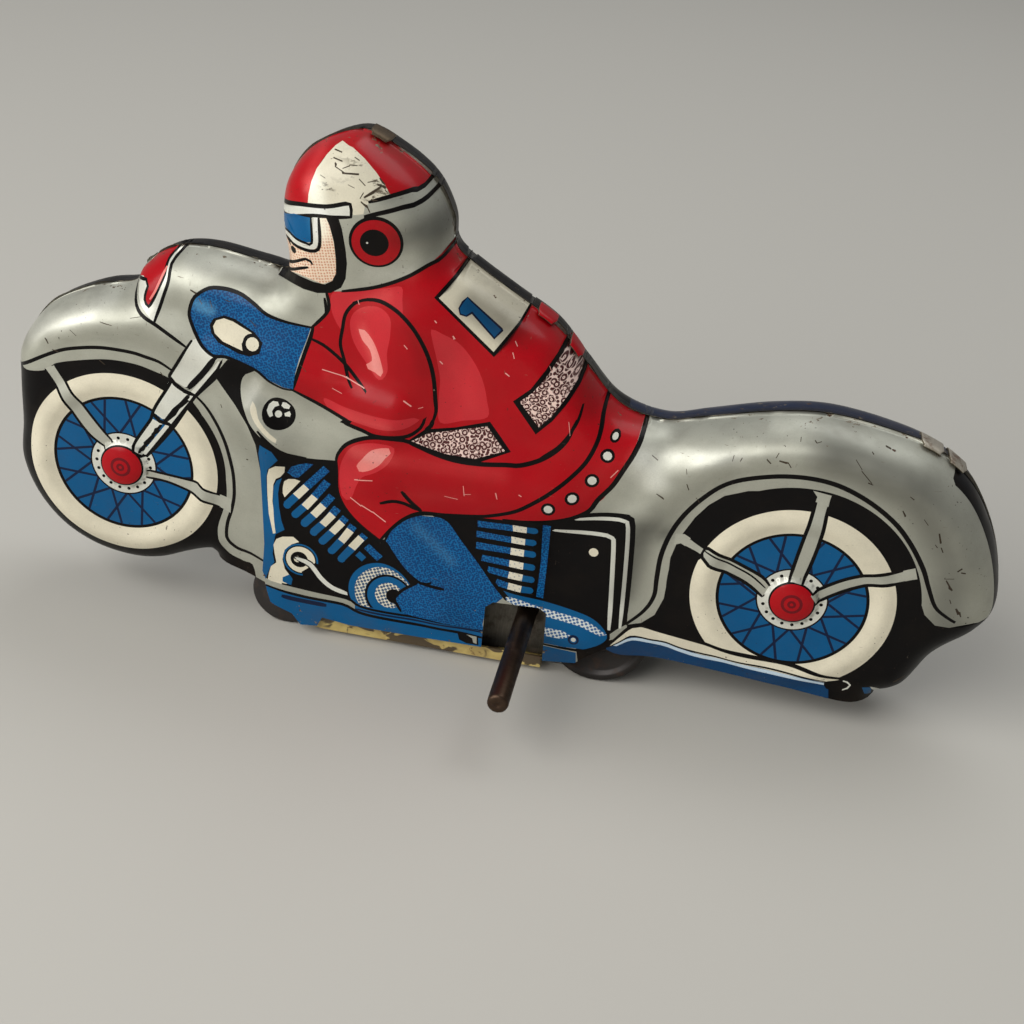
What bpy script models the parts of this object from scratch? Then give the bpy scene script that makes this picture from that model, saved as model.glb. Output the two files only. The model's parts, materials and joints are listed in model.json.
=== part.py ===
"""Lithographed tin wind-up motorcycle with rider, with its clockwork.

Frame: metres, +Z up, the motorcycle faces -X, its left side faces -Y.
The toy stands on its two rear running wheels and its front roller at Z = 0.
"""
import math

import bpy
import bmesh
from mathutils import Vector
from mathutils.geometry import delaunay_2d_cdt

MM = 0.001

# Overall layout, millimetres, in a frame whose Y = 0 is the seam between the two shells
SEAM_Y = 9.17                    # the seam's place in the part's frame
GAP = 0.15                       # half the gap between the shells' edges
TIN = 0.4                        # thickness of the pressed tin
FLANK = 7.4                      # half width over the printed wheels
FRONT_HUB = (-52.7, 23.0)
REAR_HUB = (43.3, 19.4)
TYRE_R = 17.6
WHITEWALL_R = 14.0
DISC_R = 10.2

# Clockwork, millimetres
MODULE = 0.4
GREAT_TEETH = 34
PINION_TEETH = 10
SECOND_TEETH = 32
RATCHET_TEETH = 14
SHAFT_AT = (7.0, 8.8)
SHAFT_R = 1.45
SHAFT_TIP_Y = -28.9
DRIVE_AT = (17.7, 7.15)
WHEEL_R = 7.15
WHEEL_IN, WHEEL_OUT = 4.95, 6.85
ROLLER_AT = (-28.6, 5.2)
ROLLER_R = 5.2
ROLLER_HALF = 6.1
PLATE_IN, PLATE_OUT = 4.0, 4.6   # faces of the motor plates, both sides of the seam

# Closed edge of a shell, from the front of the skirt round over the rider to the exhaust
CLOSED_EDGE = [
    (-31.4, 7.6), (-36, 9), (-40.4, 9), (-43.9, 7.8), (-48.1, 6), (-52.7, 5.4), (-58.7, 6.5),
    (-64, 9.5), (-67.9, 14.2), (-70, 19.9), (-69.7, 26.1), (-69.6, 33.1), (-68.8, 38.2),
    (-65.1, 43.3), (-58.8, 46.7), (-53, 48.3), (-50.9, 51.6), (-47.1, 54.2), (-42.1, 54.8),
    (-35.1, 53.9), (-31.4, 53.5), (-30.5, 56.5), (-31.4, 61.5), (-31, 66.8), (-27.9, 71.2),
    (-22.1, 74), (-17.2, 72.4), (-12, 68.9), (-9.1, 64.2), (-8.4, 60.3), (-5.9, 58.2),
    (0.1, 54.7), (6.2, 51.2), (10.7, 46.4), (15.8, 41.4), (21.9, 39.9), (27.8, 41.3),
    (36.3, 43.6), (43.9, 44.6), (52.6, 43.6), (58.8, 41.8), (64.4, 37.7), (68.8, 30.3),
    (70.9, 22.1), (69.1, 17.5), (64.4, 12.7), (60.8, 6.3), (54.2, 4.4), (43, 5.2), (27.4, 6.2),
    (21.3, 5.7), (19, 6.4),
]
# Open lower edge of the skirt: rear end, the slot for the winding shaft, front end
SKIRT_REAR = [(16.6, 4.8), (14.9, 3.2), (10.2, 2.6)]
SHAFT_SLOT = [(10.0, 10.7), (8.8, 11.4), (2.3, 11.0), (1.2, 10.0), (1.2, 3.1)]
SKIRT_FRONT = [
    (-8.0, 2.9), (-18.5, 2.8), (-22.6, 3.3), (-23.3, 1.7), (-25.8, 1.4),
    (-27.2, 3.1), (-30.4, 4.2), (-31.0, 6.0),
]
# Pressed relief: capsules (from, to, radius, height) standing on the flank
RELIEF = [
    ((-18.0, 33.5), (8.0, 29.0), 9.0, 1.7),      # thigh
    ((-16.0, 26.0), (-5.0, 9.0), 5.5, 0.9),      # lower leg and boot
    ((-12.0, 50.0), (-12.0, 41.0), 8.0, 1.4),    # upper arm
    ((-14.0, 38.5), (-36.0, 43.5), 5.5, 1.1),    # forearm and glove
    ((-21.0, 64.0), (-20.0, 65.0), 11.0, 1.3),   # helmet
    ((-35.0, 33.5), (-30.0, 31.0), 6.0, 0.9),    # tank
]
# Bent joining tabs of the right shell: where they cross the seam, along the closed edge
TABS = [(-19.2, 73.9), (4.6, 52.6), (9.0, 49.0), (57.0, 41.7), (60.6, 39.6), (65.2, 12.8), (59.4, 5.4)]


def material(name, colour, roughness, metallic):
    mat = bpy.data.materials.new(name)
    mat.use_nodes = True
    shader = mat.node_tree.nodes["Principled BSDF"]
    shader.inputs["Base Color"].default_value = (*colour, 1.0)
    shader.inputs["Roughness"].default_value = roughness
    shader.inputs["Metallic"].default_value = metallic
    mat.diffuse_color = (*colour, 1.0)
    return mat


def add(name, mesh, at, mat, smooth_angle=35.0):
    """Put a mesh in the part's collection with its origin at (x, y, z) mm, Y from the seam."""
    obj = bpy.data.objects.new(name, mesh)
    obj.location = (at[0] * MM, (at[1] + SEAM_Y) * MM, at[2] * MM)
    mesh.materials.clear()
    mesh.materials.append(mat)
    mesh.shade_smooth()
    mesh.set_sharp_from_angle(angle=math.radians(smooth_angle))
    PART.objects.link(obj)
    return obj


def bake(obj):
    """The evaluated mesh of a scratch object, which is then removed."""
    SCRATCH.objects.link(obj)
    bpy.context.view_layer.update()
    graph = bpy.context.evaluated_depsgraph_get()
    mesh = bpy.data.meshes.new_from_object(obj.evaluated_get(graph))
    bpy.data.objects.remove(obj)
    work = bmesh.new()
    work.from_mesh(mesh)
    bmesh.ops.remove_doubles(work, verts=work.verts, dist=1e-7)
    bmesh.ops.dissolve_degenerate(work, edges=work.edges, dist=1e-7)
    work.to_mesh(mesh)
    work.free()
    return mesh


def flat(loops, y0, y1):
    """A flat piece: closed (x, z) loops, the first outer, extruded along Y from y0 to y1."""
    curve = bpy.data.curves.new("flat", "CURVE")
    curve.dimensions = "2D"
    curve.fill_mode = "BOTH"
    curve.extrude = (y1 - y0) / 2 * MM
    for loop in loops:
        spline = curve.splines.new("POLY")
        spline.points.add(len(loop) - 1)
        for point, (x, z) in zip(spline.points, loop):
            point.co = (x * MM, z * MM, 0.0, 1.0)
        spline.use_cyclic_u = True
    mesh = bake(bpy.data.objects.new("flat", curve))
    for vert in mesh.vertices:
        x, z, y = vert.co
        vert.co = (x, (y0 + y1) / 2 * MM - y, z)
    return mesh


def turned(profile, steps):
    """A turned piece about the Y axis: closed (radius, y) profile, outer side first."""
    mesh = bpy.data.meshes.new("turned")
    points = [(r * MM, 0.0, y * MM) for r, y in profile]
    if profile[0][0] == 0.0:
        edges = [(i, i + 1) for i in range(len(points) - 1)]
    else:
        edges = [(i, (i + 1) % len(points)) for i in range(len(points))]
    mesh.from_pydata(points, edges, [])
    obj = bpy.data.objects.new("turned", mesh)
    screw = obj.modifiers.new("Screw", "SCREW")
    screw.steps = steps
    screw.render_steps = steps
    screw.use_merge_vertices = True
    screw.merge_threshold = 0.00001
    screw.use_normal_calculate = True
    mesh = bake(obj)
    for vert in mesh.vertices:
        x, y, z = vert.co
        vert.co = (x, z, -y)
    work = bmesh.new()
    work.from_mesh(mesh)
    bmesh.ops.recalc_face_normals(work, faces=work.faces)
    work.to_mesh(mesh)
    work.free()
    return mesh


def circle(radius, count, centre=(0.0, 0.0)):
    steps = [2 * math.pi * i / count for i in range(count)]
    return [(centre[0] + radius * math.cos(a), centre[1] + radius * math.sin(a)) for a in steps]


def gear_outline(teeth, phase):
    """Tooth outline with one tooth centred on the angle phase."""
    pitch_r = MODULE * teeth / 2
    step = 2 * math.pi / teeth
    tip, root = pitch_r + 0.85 * MODULE, pitch_r - 1.1 * MODULE
    outline = []
    for i in range(teeth):
        mid = phase + i * step
        for offset, radius in ((-0.27, root), (-0.11, tip), (0.11, tip), (0.27, root)):
            angle = mid + offset * step
            outline.append((radius * math.cos(angle), radius * math.sin(angle)))
    return outline


def ratchet_outline(phase):
    outline = []
    step = 2 * math.pi / RATCHET_TEETH
    for i in range(RATCHET_TEETH):
        angle = phase + i * step
        outline.append((3.4 * math.cos(angle), 3.4 * math.sin(angle)))
        outline.append((2.7 * math.cos(angle + 0.06), 2.7 * math.sin(angle + 0.06)))
    return outline


def combine(mesh, other, operation):
    """EXACT boolean of two baked meshes that share one origin."""
    first = bpy.data.objects.new("first", mesh)
    second = bpy.data.objects.new("second", other)
    CUTTERS.objects.link(second)
    second.hide_render = True
    second.display_type = "WIRE"
    cut = first.modifiers.new("Boolean", "BOOLEAN")
    cut.operation = operation
    cut.solver = "EXACT"
    cut.object = second
    result = bake(first)
    bpy.data.objects.remove(second)
    return result


# ---------------------------------------------------------------- pressed shells

def spline_through(points, spacing):
    """Catmull-Rom curve through the points, sampled about every spacing mm."""
    padded = [points[0]] + points + [points[-1]]
    sampled = []
    for p0, p1, p2, p3 in zip(padded, padded[1:], padded[2:], padded[3:]):
        count = max(1, round(math.dist(p1, p2) / spacing))
        for i in range(count):
            t = i / count
            sampled.append(tuple(
                0.5 * (2 * b + (c - a) * t + (2 * a - 5 * b + 4 * c - d) * t * t
                       + (3 * b - a - 3 * c + d) * t ** 3)
                for a, b, c, d in zip(p0, p1, p2, p3)))
    sampled.append(points[-1])
    return sampled


def along(points, spacing):
    """Straight runs between the points, sampled about every spacing mm."""
    sampled = []
    for a, b in zip(points, points[1:]):
        count = max(1, round(math.dist(a, b) / spacing))
        for i in range(count):
            t = i / count
            sampled.append((a[0] + (b[0] - a[0]) * t, a[1] + (b[1] - a[1]) * t))
    return sampled


def segment_distance(p, a, b):
    dx, dz = b[0] - a[0], b[1] - a[1]
    length = dx * dx + dz * dz
    t = 0.0 if length == 0 else ((p[0] - a[0]) * dx + (p[1] - a[1]) * dz) / length
    t = min(1.0, max(0.0, t))
    return math.hypot(p[0] - a[0] - t * dx, p[1] - a[1] - t * dz)


def line_distance(p, line):
    return min(segment_distance(p, a, b) for a, b in zip(line, line[1:]))


def smooth(t):
    t = min(1.0, max(0.0, t))
    return t * t * (3 - 2 * t)


def wheel_relief(p, hub):
    """Relief of one printed wheel: whitewall ring and hub dome."""
    r = math.dist(p, hub)
    ring = 0.5 * smooth(1 - abs(r - 12.3) / 2.4)
    dome = 1.3 * math.sqrt(max(0.0, 1 - (r / 3.6) ** 2))
    return ring + dome


def fender_relief(p, hub, inner, outer, top_only):
    """A rounded mudguard between two radii round a wheel."""
    r = math.dist(p, hub)
    middle, half = (inner + outer) / 2, (outer - inner) / 2
    fade = smooth((p[1] - hub[1] + top_only) / 6.0)
    return 0.9 * smooth(1 - abs(r - middle) / half) * fade


def height(p, edge):
    """Distance of the shell's outer face from the seam at the point p = (x, z)."""
    plateau = FLANK
    body = smooth((p[0] + 38.0) / 10.0) * smooth((24.0 - p[0]) / 8.0)
    plateau += 0.6 * body
    plateau += wheel_relief(p, FRONT_HUB) + wheel_relief(p, REAR_HUB)
    plateau += fender_relief(p, FRONT_HUB, 18.2, 26.5, 0.0)
    plateau += fender_relief(p, REAR_HUB, 18.8, 28.0, -4.0)
    for a, b, radius, rise in RELIEF:
        plateau += rise * smooth(1 - segment_distance(p, a, b) / radius)
    t = min(1.0, line_distance(p, edge) / 5.2)
    return GAP + (plateau - GAP) * (1 - (1 - t) ** 2.3) ** (1 / 2.3)


def shell_outline(slot, spacing):
    edge = spline_through(CLOSED_EDGE, spacing)
    lower = [CLOSED_EDGE[-1]] + SKIRT_REAR
    lower += SHAFT_SLOT if slot else []
    lower += SKIRT_FRONT + [CLOSED_EDGE[0]]
    return edge, along(lower, spacing)


def inside(p, loop):
    hit = False
    for a, b in zip(loop, loop[1:] + loop[:1]):
        if (a[1] > p[1]) != (b[1] > p[1]):
            if p[0] < a[0] + (p[1] - a[1]) * (b[0] - a[0]) / (b[1] - a[1]):
                hit = not hit
    return hit


def shell(side, slot):
    """One pressed half: side is -1 for the left shell, +1 for the right one."""
    edge, lower = shell_outline(slot, 3.4)
    # the pressing stays open below the skirt, over the running wheels and along the exhaust pipe
    rounded = edge[2:-12]
    loop = edge + lower[1:]
    ring = loop + loop[:1]
    points = [Vector(p) for p in loop]
    constraint = [(i, (i + 1) % len(loop)) for i in range(len(loop))]
    inner = []
    for depth in (0.45, 1.7, 4.0):
        for before, here, after in zip(edge, edge[1:], edge[2:]):
            span = math.dist(before, after)
            nx, nz = (after[1] - before[1]) / span, (before[0] - after[0]) / span
            p = (here[0] + nx * depth, here[1] + nz * depth)
            if inside(p, loop) and line_distance(p, ring) > depth * 0.9:
                inner.append(p)
    for hub in (FRONT_HUB, REAR_HUB):
        inner.append(hub)
        for radius, count in ((2.4, 8), (3.6, 10), (10.0, 16), (12.3, 18)):
            inner += circle(radius, count, hub)
    for i in range(-13, 14):
        for j in range(1, 14):
            p = (i * 5.4 + (j % 2) * 2.7, j * 5.4)
            if not inside(p, loop) or line_distance(p, ring) < 6.0:
                continue
            if min(math.dist(p, FRONT_HUB), math.dist(p, REAR_HUB)) > 15.0:
                inner.append(p)
    inner = [p for p in inner if inside(p, loop) and line_distance(p, ring) > 0.4]
    kept = []
    for p in inner:
        if all(math.dist(p, q) > 0.9 for q in kept[-400:]):
            kept.append(p)
    points += [Vector(p) for p in kept]
    verts, _, faces, _, _, _ = delaunay_2d_cdt(points, constraint, [], 1, 1e-6)
    mesh = bpy.data.meshes.new("shell")
    mesh.from_pydata(
        [(v.x * MM, side * height((v.x, v.y), rounded) * MM, v.y * MM) for v in verts], [], faces)
    work = bmesh.new()
    work.from_mesh(mesh)
    bmesh.ops.recalc_face_normals(work, faces=work.faces)
    work.faces.ensure_lookup_table()
    probe = max(work.faces, key=lambda f: side * f.calc_center_median().y)
    if probe.normal.y * side < 0:
        bmesh.ops.reverse_faces(work, faces=work.faces)
    work.to_mesh(mesh)
    work.free()
    obj = bpy.data.objects.new("shell", mesh)
    thick = obj.modifiers.new("Solidify", "SOLIDIFY")
    thick.thickness = TIN * MM
    thick.offset = -1.0
    mesh = bake(obj)
    for vert in mesh.vertices:
        if side * vert.co.y < GAP * MM:
            vert.co.y = side * GAP * MM
    return mesh


def tab(at):
    """A joining tab: rooted in the right shell, folded over the seam onto the left shell."""
    edge = spline_through(CLOSED_EDGE, 1.0)
    nearest = min(range(1, len(edge) - 1), key=lambda i: math.dist(edge[i], at))
    (ax, az), (bx, bz) = edge[nearest - 1], edge[nearest + 1]
    length = math.hypot(bx - ax, bz - az)
    tx, tz = (bx - ax) / length, (bz - az) / length
    nx, nz = -tz, tx
    if inside((edge[nearest][0] + nx, edge[nearest][1] + nz), edge + [(0.0, 4.0)]):
        nx, nz = -nx, -nz
    cx, cz = edge[nearest]
    # section in (outward, y): over the seam, with a foot sunk in the right shell's wall
    section = [(0.12, -2.2), (0.5, -2.4), (0.5, 1.5), (-0.25, 1.5), (-0.25, 0.4), (0.12, 0.4)]
    verts = []
    for end in (-1.25, 1.25):
        for out, y in section:
            verts.append((
                (cx + tx * end + nx * out) * MM, y * MM, (cz + tz * end + nz * out) * MM))
    count = len(section)
    faces = [tuple(range(count)), tuple(range(2 * count - 1, count - 1, -1))]
    faces += [(i, i + count, (i + 1) % count + count, (i + 1) % count) for i in range(count)]
    mesh = bpy.data.meshes.new("tab")
    mesh.from_pydata(verts, [], faces)
    work = bmesh.new()
    work.from_mesh(mesh)
    bmesh.ops.recalc_face_normals(work, faces=work.faces)
    work.to_mesh(mesh)
    work.free()
    return mesh


def build_shells():
    tin = material("litho_tin_left", (0.62, 0.62, 0.56), 0.32, 0.85)
    add("left_shell", shell(-1, True), (0, 0, 0), tin, 50.0)
    right = shell(1, False)
    for at in TABS:
        right = combine(right, tab(at), "UNION")
    other = material("litho_tin_right", (0.58, 0.59, 0.54), 0.34, 0.85)
    add("right_shell", right, (0, 0, 0), other, 50.0)


# ---------------------------------------------------------------- base plate and frame

def block(x0, x1, y0, y1, z0, z1):
    return flat([[(x0, z0), (x1, z0), (x1, z1), (x0, z1)]], y0, y1)


def build_base_plate():
    """Folded tin tray: a floor, two flanges inside the shells, two ears for the front axle."""
    tray = block(-22.6, 9.9, -7.0, 7.0, 0.7, 1.1)
    tray = combine(tray, block(9.5, 19.5, -4.5, 4.5, 0.7, 1.1), "UNION")
    flange = [
        (-22.6, 0.7), (9.9, 0.7), (9.9, 2.5), (-21.0, 2.5), (-22.4, 4.2), (-24.6, 8.0),
        (-30.2, 8.0), (-30.6, 5.0), (-29.6, 3.6), (-25.6, 3.0), (-24.2, 0.9),
    ]
    hole = circle(0.95, 12, ROLLER_AT)
    for side in (-1, 1):
        wall = flat([flange, hole], min(side * 6.6, side * 7.0), max(side * 6.6, side * 7.0))
        tray = combine(tray, wall, "UNION")
    add("base_plate", tray, (0, 0, 0), material("base_tin", (0.42, 0.34, 0.17), 0.42, 0.7))


def build_frame():
    steel = material("motor_plate_left_steel", (0.30, 0.30, 0.29), 0.45, 0.9)
    other = material("motor_plate_right_steel", (0.29, 0.29, 0.28), 0.45, 0.9)
    outline = [
        (-4.2, 1.4), (19.0, 1.4), (21.0, 3.4), (21.0, 9.5), (22.3, 12.0), (22.3, 23.0),
        (20.6, 24.2), (-2.6, 24.2), (-4.2, 22.6),
    ]
    holes = [
        circle(SHAFT_R + 0.15, 20, SHAFT_AT),
        circle(1.05, 14, DRIVE_AT),
        circle(0.75, 12, SECOND_AT),
    ]
    holes += [circle(0.75, 12, at) for at in PILLARS]
    add("motor_plate_left", flat([outline] + holes, -PLATE_OUT, -PLATE_IN), (0, 0, 0), steel)
    holes[0] = circle(1.15, 16, SHAFT_AT)
    add("motor_plate_right", flat([outline] + holes, PLATE_IN, PLATE_OUT), (0, 0, 0), other)
    for name, at in zip(("pillar_front", "pillar_top_front", "pillar_top_rear"), PILLARS):
        profile = [
            (0.0, 4.85), (0.6, 4.85), (0.6, 3.9), (1.15, 3.9),
            (1.15, -3.9), (0.6, -3.9), (0.6, -4.85), (0.0, -4.85),
        ]
        mat = material(name + "_steel", (0.36, 0.35, 0.33), 0.4, 0.95)
        add(name, turned(profile, 14), (at[0], 0, at[1]), mat)


# ---------------------------------------------------------------- clockwork

def build_winding():
    dark = material("winding_shaft_steel", (0.10, 0.075, 0.06), 0.45, 0.9)
    profile = [
        (0.0, 5.0), (1.0, 5.0), (1.0, 3.7), (SHAFT_R, 3.7), (SHAFT_R, SHAFT_TIP_Y + 0.5),
        (SHAFT_R - 0.4, SHAFT_TIP_Y), (0.0, SHAFT_TIP_Y),
    ]
    add("winding_shaft", turned(profile, 20), (SHAFT_AT[0], 0, SHAFT_AT[1]), dark)
    bright = material("ratchet_steel", (0.40, 0.38, 0.34), 0.4, 0.95)
    ratchet = flat([ratchet_outline(CLICK_ANGLE - 0.10), circle(SHAFT_R + 0.05, 20)], 1.75, 2.3)
    add("ratchet_wheel", ratchet, (SHAFT_AT[0], 0, SHAFT_AT[1]), bright)


def build_great_wheel():
    brass = material("great_wheel_brass", (0.55, 0.42, 0.16), 0.38, 0.95)
    phase = math.atan2(SECOND_AT[1] - SHAFT_AT[1], SECOND_AT[0] - SHAFT_AT[0])
    holes = [circle(SHAFT_R + 0.15, 20), circle(0.65, 10, CLICK_PIVOT)]
    great = flat([gear_outline(GREAT_TEETH, phase)] + holes, 0.8, 1.4)
    add("great_wheel", great, (SHAFT_AT[0], 0, SHAFT_AT[1]), brass)
    pivot = (SHAFT_AT[0] + CLICK_PIVOT[0], SHAFT_AT[1] + CLICK_PIVOT[1])
    rivet = turned([(0.0, 2.35), (0.5, 2.35), (0.5, 0.75), (0.0, 0.75)], 12)
    add("click_rivet", rivet, (pivot[0], 0, pivot[1]), material("rivet_steel", (0.4, 0.4, 0.38), 0.4, 0.95))
    # the click lies on the great wheel and its nose rests in the ratchet wheel's teeth
    nose_angle = CLICK_ANGLE
    nose = (3.68 * math.cos(nose_angle), 3.68 * math.sin(nose_angle))
    heading = math.atan2(nose[1] - CLICK_PIVOT[1], nose[0] - CLICK_PIVOT[0])
    reach = math.dist(nose, CLICK_PIVOT)
    local = [(-0.95, 0.5), (-0.95, -0.5), (-0.3, -1.0), (0.9, -0.85), (reach, -0.25),
             (reach, 0.25), (0.9, 0.85), (-0.3, 1.0)]
    turned_local = [
        (x * math.cos(heading) - y * math.sin(heading), x * math.sin(heading) + y * math.cos(heading))
        for x, y in local]
    click = flat([turned_local, circle(0.62, 10)], 1.75, 2.3)
    add("click", click, (pivot[0], 0, pivot[1]), material("click_steel", (0.33, 0.32, 0.30), 0.42, 0.95))


def build_mainspring():
    """Wound steel strip: inner end on the shaft, outer end hooked round the front pillar."""
    turns, inner_r, outer_r = 5.0, 1.85, 6.3
    end_angle = math.atan2(PILLARS[0][1] - SHAFT_AT[1], PILLARS[0][0] - SHAFT_AT[0])
    count = 110
    centre = []
    for i in range(count + 1):
        t = i / count
        angle = end_angle - 0.55 - (1 - t) * turns * 2 * math.pi
        radius = inner_r + (outer_r - inner_r) * t
        centre.append((radius * math.cos(angle), radius * math.sin(angle)))
    px, pz = PILLARS[0][0] - SHAFT_AT[0], PILLARS[0][1] - SHAFT_AT[1]
    centre += [(px + 1.65 * math.cos(a), pz + 1.65 * math.sin(a)) for a in (0.35, 1.2, 2.0, 2.8)]
    left, right = [], []
    for i, (x, z) in enumerate(centre):
        ahead = centre[min(i + 1, len(centre) - 1)]
        behind = centre[max(i - 1, 0)]
        length = math.dist(ahead, behind)
        nx, nz = -(ahead[1] - behind[1]) / length, (ahead[0] - behind[0]) / length
        left.append((x + 0.13 * nx, z + 0.13 * nz))
        right.append((x - 0.13 * nx, z - 0.13 * nz))
    strip = flat([left + right[::-1]], -3.5, 0.4)
    add("mainspring", strip, (SHAFT_AT[0], 0, SHAFT_AT[1]), material("spring_steel", (0.16, 0.15, 0.17), 0.3, 1.0))


def arbor(half_left, half_right, radius, pivot_r):
    return turned([
        (0.0, half_right), (pivot_r, half_right), (pivot_r, 3.8), (radius, 3.8),
        (radius, -3.8), (pivot_r, -3.8), (pivot_r, -half_left), (0.0, -half_left)], 14)


def build_second_arbor():
    at = (SECOND_AT[0], 0, SECOND_AT[1])
    add("second_arbor", arbor(4.85, 4.85, 0.8, 0.6), at, material("second_arbor_steel", (0.5, 0.49, 0.46), 0.35, 1.0))
    mesh_angle = math.atan2(SHAFT_AT[1] - SECOND_AT[1], SHAFT_AT[0] - SECOND_AT[0])
    phase = mesh_angle + math.pi / PINION_TEETH
    pinion = flat([gear_outline(PINION_TEETH, phase), circle(0.85, 12)], 0.5, 1.7)
    add("second_pinion", pinion, at, material("second_pinion_brass", (0.6, 0.46, 0.2), 0.35, 0.95))
    phase = math.atan2(DRIVE_AT[1] - SECOND_AT[1], DRIVE_AT[0] - SECOND_AT[0])
    wheel = flat([gear_outline(SECOND_TEETH, phase), circle(0.85, 12)], 2.6, 3.2)
    add("second_wheel", wheel, at, material("second_wheel_brass", (0.57, 0.44, 0.18), 0.38, 0.95))


def running_wheel(side):
    """Pressed steel running wheel with a rolled rim and a bore for the axle."""
    profile = [
        (0.95, WHEEL_OUT - 0.2), (2.2, WHEEL_OUT - 0.2), (2.6, WHEEL_OUT - 0.6),
        (5.6, WHEEL_OUT - 0.6), (6.1, WHEEL_OUT), (WHEEL_R - 0.2, WHEEL_OUT),
        (WHEEL_R, WHEEL_OUT - 0.25), (WHEEL_R, WHEEL_IN + 0.25), (WHEEL_R - 0.2, WHEEL_IN),
        (6.1, WHEEL_IN), (5.6, WHEEL_IN + 0.5), (2.6, WHEEL_IN + 0.5), (2.2, WHEEL_IN),
        (0.95, WHEEL_IN),
    ]
    return turned([(r, side * y) for r, y in profile], 30)


def build_drive():
    at = (DRIVE_AT[0], 0, DRIVE_AT[1])
    axle = turned([(0.0, 7.0), (0.9, 7.0), (0.9, -7.0), (0.0, -7.0)], 14)
    add("drive_axle", axle, at, material("drive_axle_steel", (0.42, 0.41, 0.39), 0.38, 1.0))
    mesh_angle = math.atan2(SECOND_AT[1] - DRIVE_AT[1], SECOND_AT[0] - DRIVE_AT[0])
    phase = mesh_angle + math.pi / PINION_TEETH
    pinion = flat([gear_outline(PINION_TEETH, phase), circle(0.95, 12)], 2.3, 3.5)
    add("drive_pinion", pinion, at, material("drive_pinion_brass", (0.6, 0.46, 0.2), 0.35, 0.95))
    black = material("rear_wheel_left_steel", (0.035, 0.032, 0.03), 0.5, 0.6)
    other = material("rear_wheel_right_steel", (0.04, 0.036, 0.034), 0.5, 0.6)
    add("rear_wheel_left", running_wheel(-1), at, black)
    add("rear_wheel_right", running_wheel(1), at, other)


def build_front():
    at = (ROLLER_AT[0], 0, ROLLER_AT[1])
    axle = turned([(0.0, 7.2), (0.8, 7.2), (0.8, -7.2), (0.0, -7.2)], 14)
    add("front_axle", axle, at, material("front_axle_steel", (0.35, 0.33, 0.30), 0.42, 1.0))
    roller = turned([
        (0.95, ROLLER_HALF), (ROLLER_R - 0.5, ROLLER_HALF), (ROLLER_R, ROLLER_HALF - 0.5),
        (ROLLER_R, -ROLLER_HALF + 0.5), (ROLLER_R - 0.5, -ROLLER_HALF), (0.95, -ROLLER_HALF)], 28)
    add("front_roller", roller, at, material("roller_paint", (0.05, 0.04, 0.035), 0.55, 0.3))


def meeting_point(a, b, from_a, from_b):
    """The point above the line a-b at the given distances from a and b."""
    span = math.dist(a, b)
    run = (from_a ** 2 - from_b ** 2 + span ** 2) / (2 * span)
    rise = math.sqrt(from_a ** 2 - run ** 2)
    ux, uz = (b[0] - a[0]) / span, (b[1] - a[1]) / span
    return (a[0] + run * ux - rise * uz, a[1] + run * uz + rise * ux)


SECOND_AT = meeting_point(
    SHAFT_AT, DRIVE_AT,
    MODULE * (GREAT_TEETH + PINION_TEETH) / 2, MODULE * (SECOND_TEETH + PINION_TEETH) / 2)
PILLARS = [(-2.4, 6.4), (-2.0, 20.5), (20.2, 21.6)]
CLICK_PIVOT = (-3.2, -3.6)
CLICK_ANGLE = math.radians(185.0)

for old in list(bpy.data.objects):
    bpy.data.objects.remove(old)
PART = bpy.data.collections.new("windup_tin_motorcycle")
SCRATCH = bpy.data.collections.new("scratch")
CUTTERS = bpy.data.collections.new("cutters")
for group in (PART, SCRATCH, CUTTERS):
    bpy.context.scene.collection.children.link(group)

build_shells()
build_base_plate()
build_frame()
build_winding()
build_great_wheel()
build_mainspring()
build_second_arbor()
build_drive()
build_front()
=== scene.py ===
"""Looks of a lithographed tin wind-up motorcycle with its rider.

The printed tin is built as a fine pressed surface: the outline and the relief give its form,
and the printed picture is a stack of plain shapes laid over it, each with its own paint.
Lengths are millimetres until the meshes are made. X runs to the toy's rear and Z up.
"""
import json
import math

import bmesh
import bpy
import numpy as np
from mathutils import Euler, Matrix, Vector
from mathutils.geometry import delaunay_2d_cdt

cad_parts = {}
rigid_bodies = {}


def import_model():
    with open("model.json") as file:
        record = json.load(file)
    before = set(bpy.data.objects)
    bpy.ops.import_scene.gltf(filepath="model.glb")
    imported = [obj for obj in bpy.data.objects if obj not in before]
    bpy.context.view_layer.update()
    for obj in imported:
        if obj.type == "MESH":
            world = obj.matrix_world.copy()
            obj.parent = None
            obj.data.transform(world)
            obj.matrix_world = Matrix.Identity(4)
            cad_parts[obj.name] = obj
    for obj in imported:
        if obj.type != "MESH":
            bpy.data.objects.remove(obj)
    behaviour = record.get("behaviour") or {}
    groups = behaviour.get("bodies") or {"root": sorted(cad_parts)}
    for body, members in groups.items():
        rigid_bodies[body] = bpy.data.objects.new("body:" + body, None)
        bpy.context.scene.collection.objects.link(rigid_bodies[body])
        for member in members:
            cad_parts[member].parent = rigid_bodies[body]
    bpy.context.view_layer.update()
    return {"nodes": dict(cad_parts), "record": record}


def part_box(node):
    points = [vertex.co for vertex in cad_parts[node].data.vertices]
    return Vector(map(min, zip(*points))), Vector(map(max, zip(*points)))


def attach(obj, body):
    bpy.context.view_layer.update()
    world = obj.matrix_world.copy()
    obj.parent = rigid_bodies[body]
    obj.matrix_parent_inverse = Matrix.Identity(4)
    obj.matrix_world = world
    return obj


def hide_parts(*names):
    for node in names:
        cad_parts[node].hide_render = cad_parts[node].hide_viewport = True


for old in list(bpy.data.objects):
    bpy.data.objects.remove(old)
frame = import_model()
JOINTS = {joint["name"]: joint for joint in frame["record"]["behaviour"]["joints"]}
MM = 0.001  # metres

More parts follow.
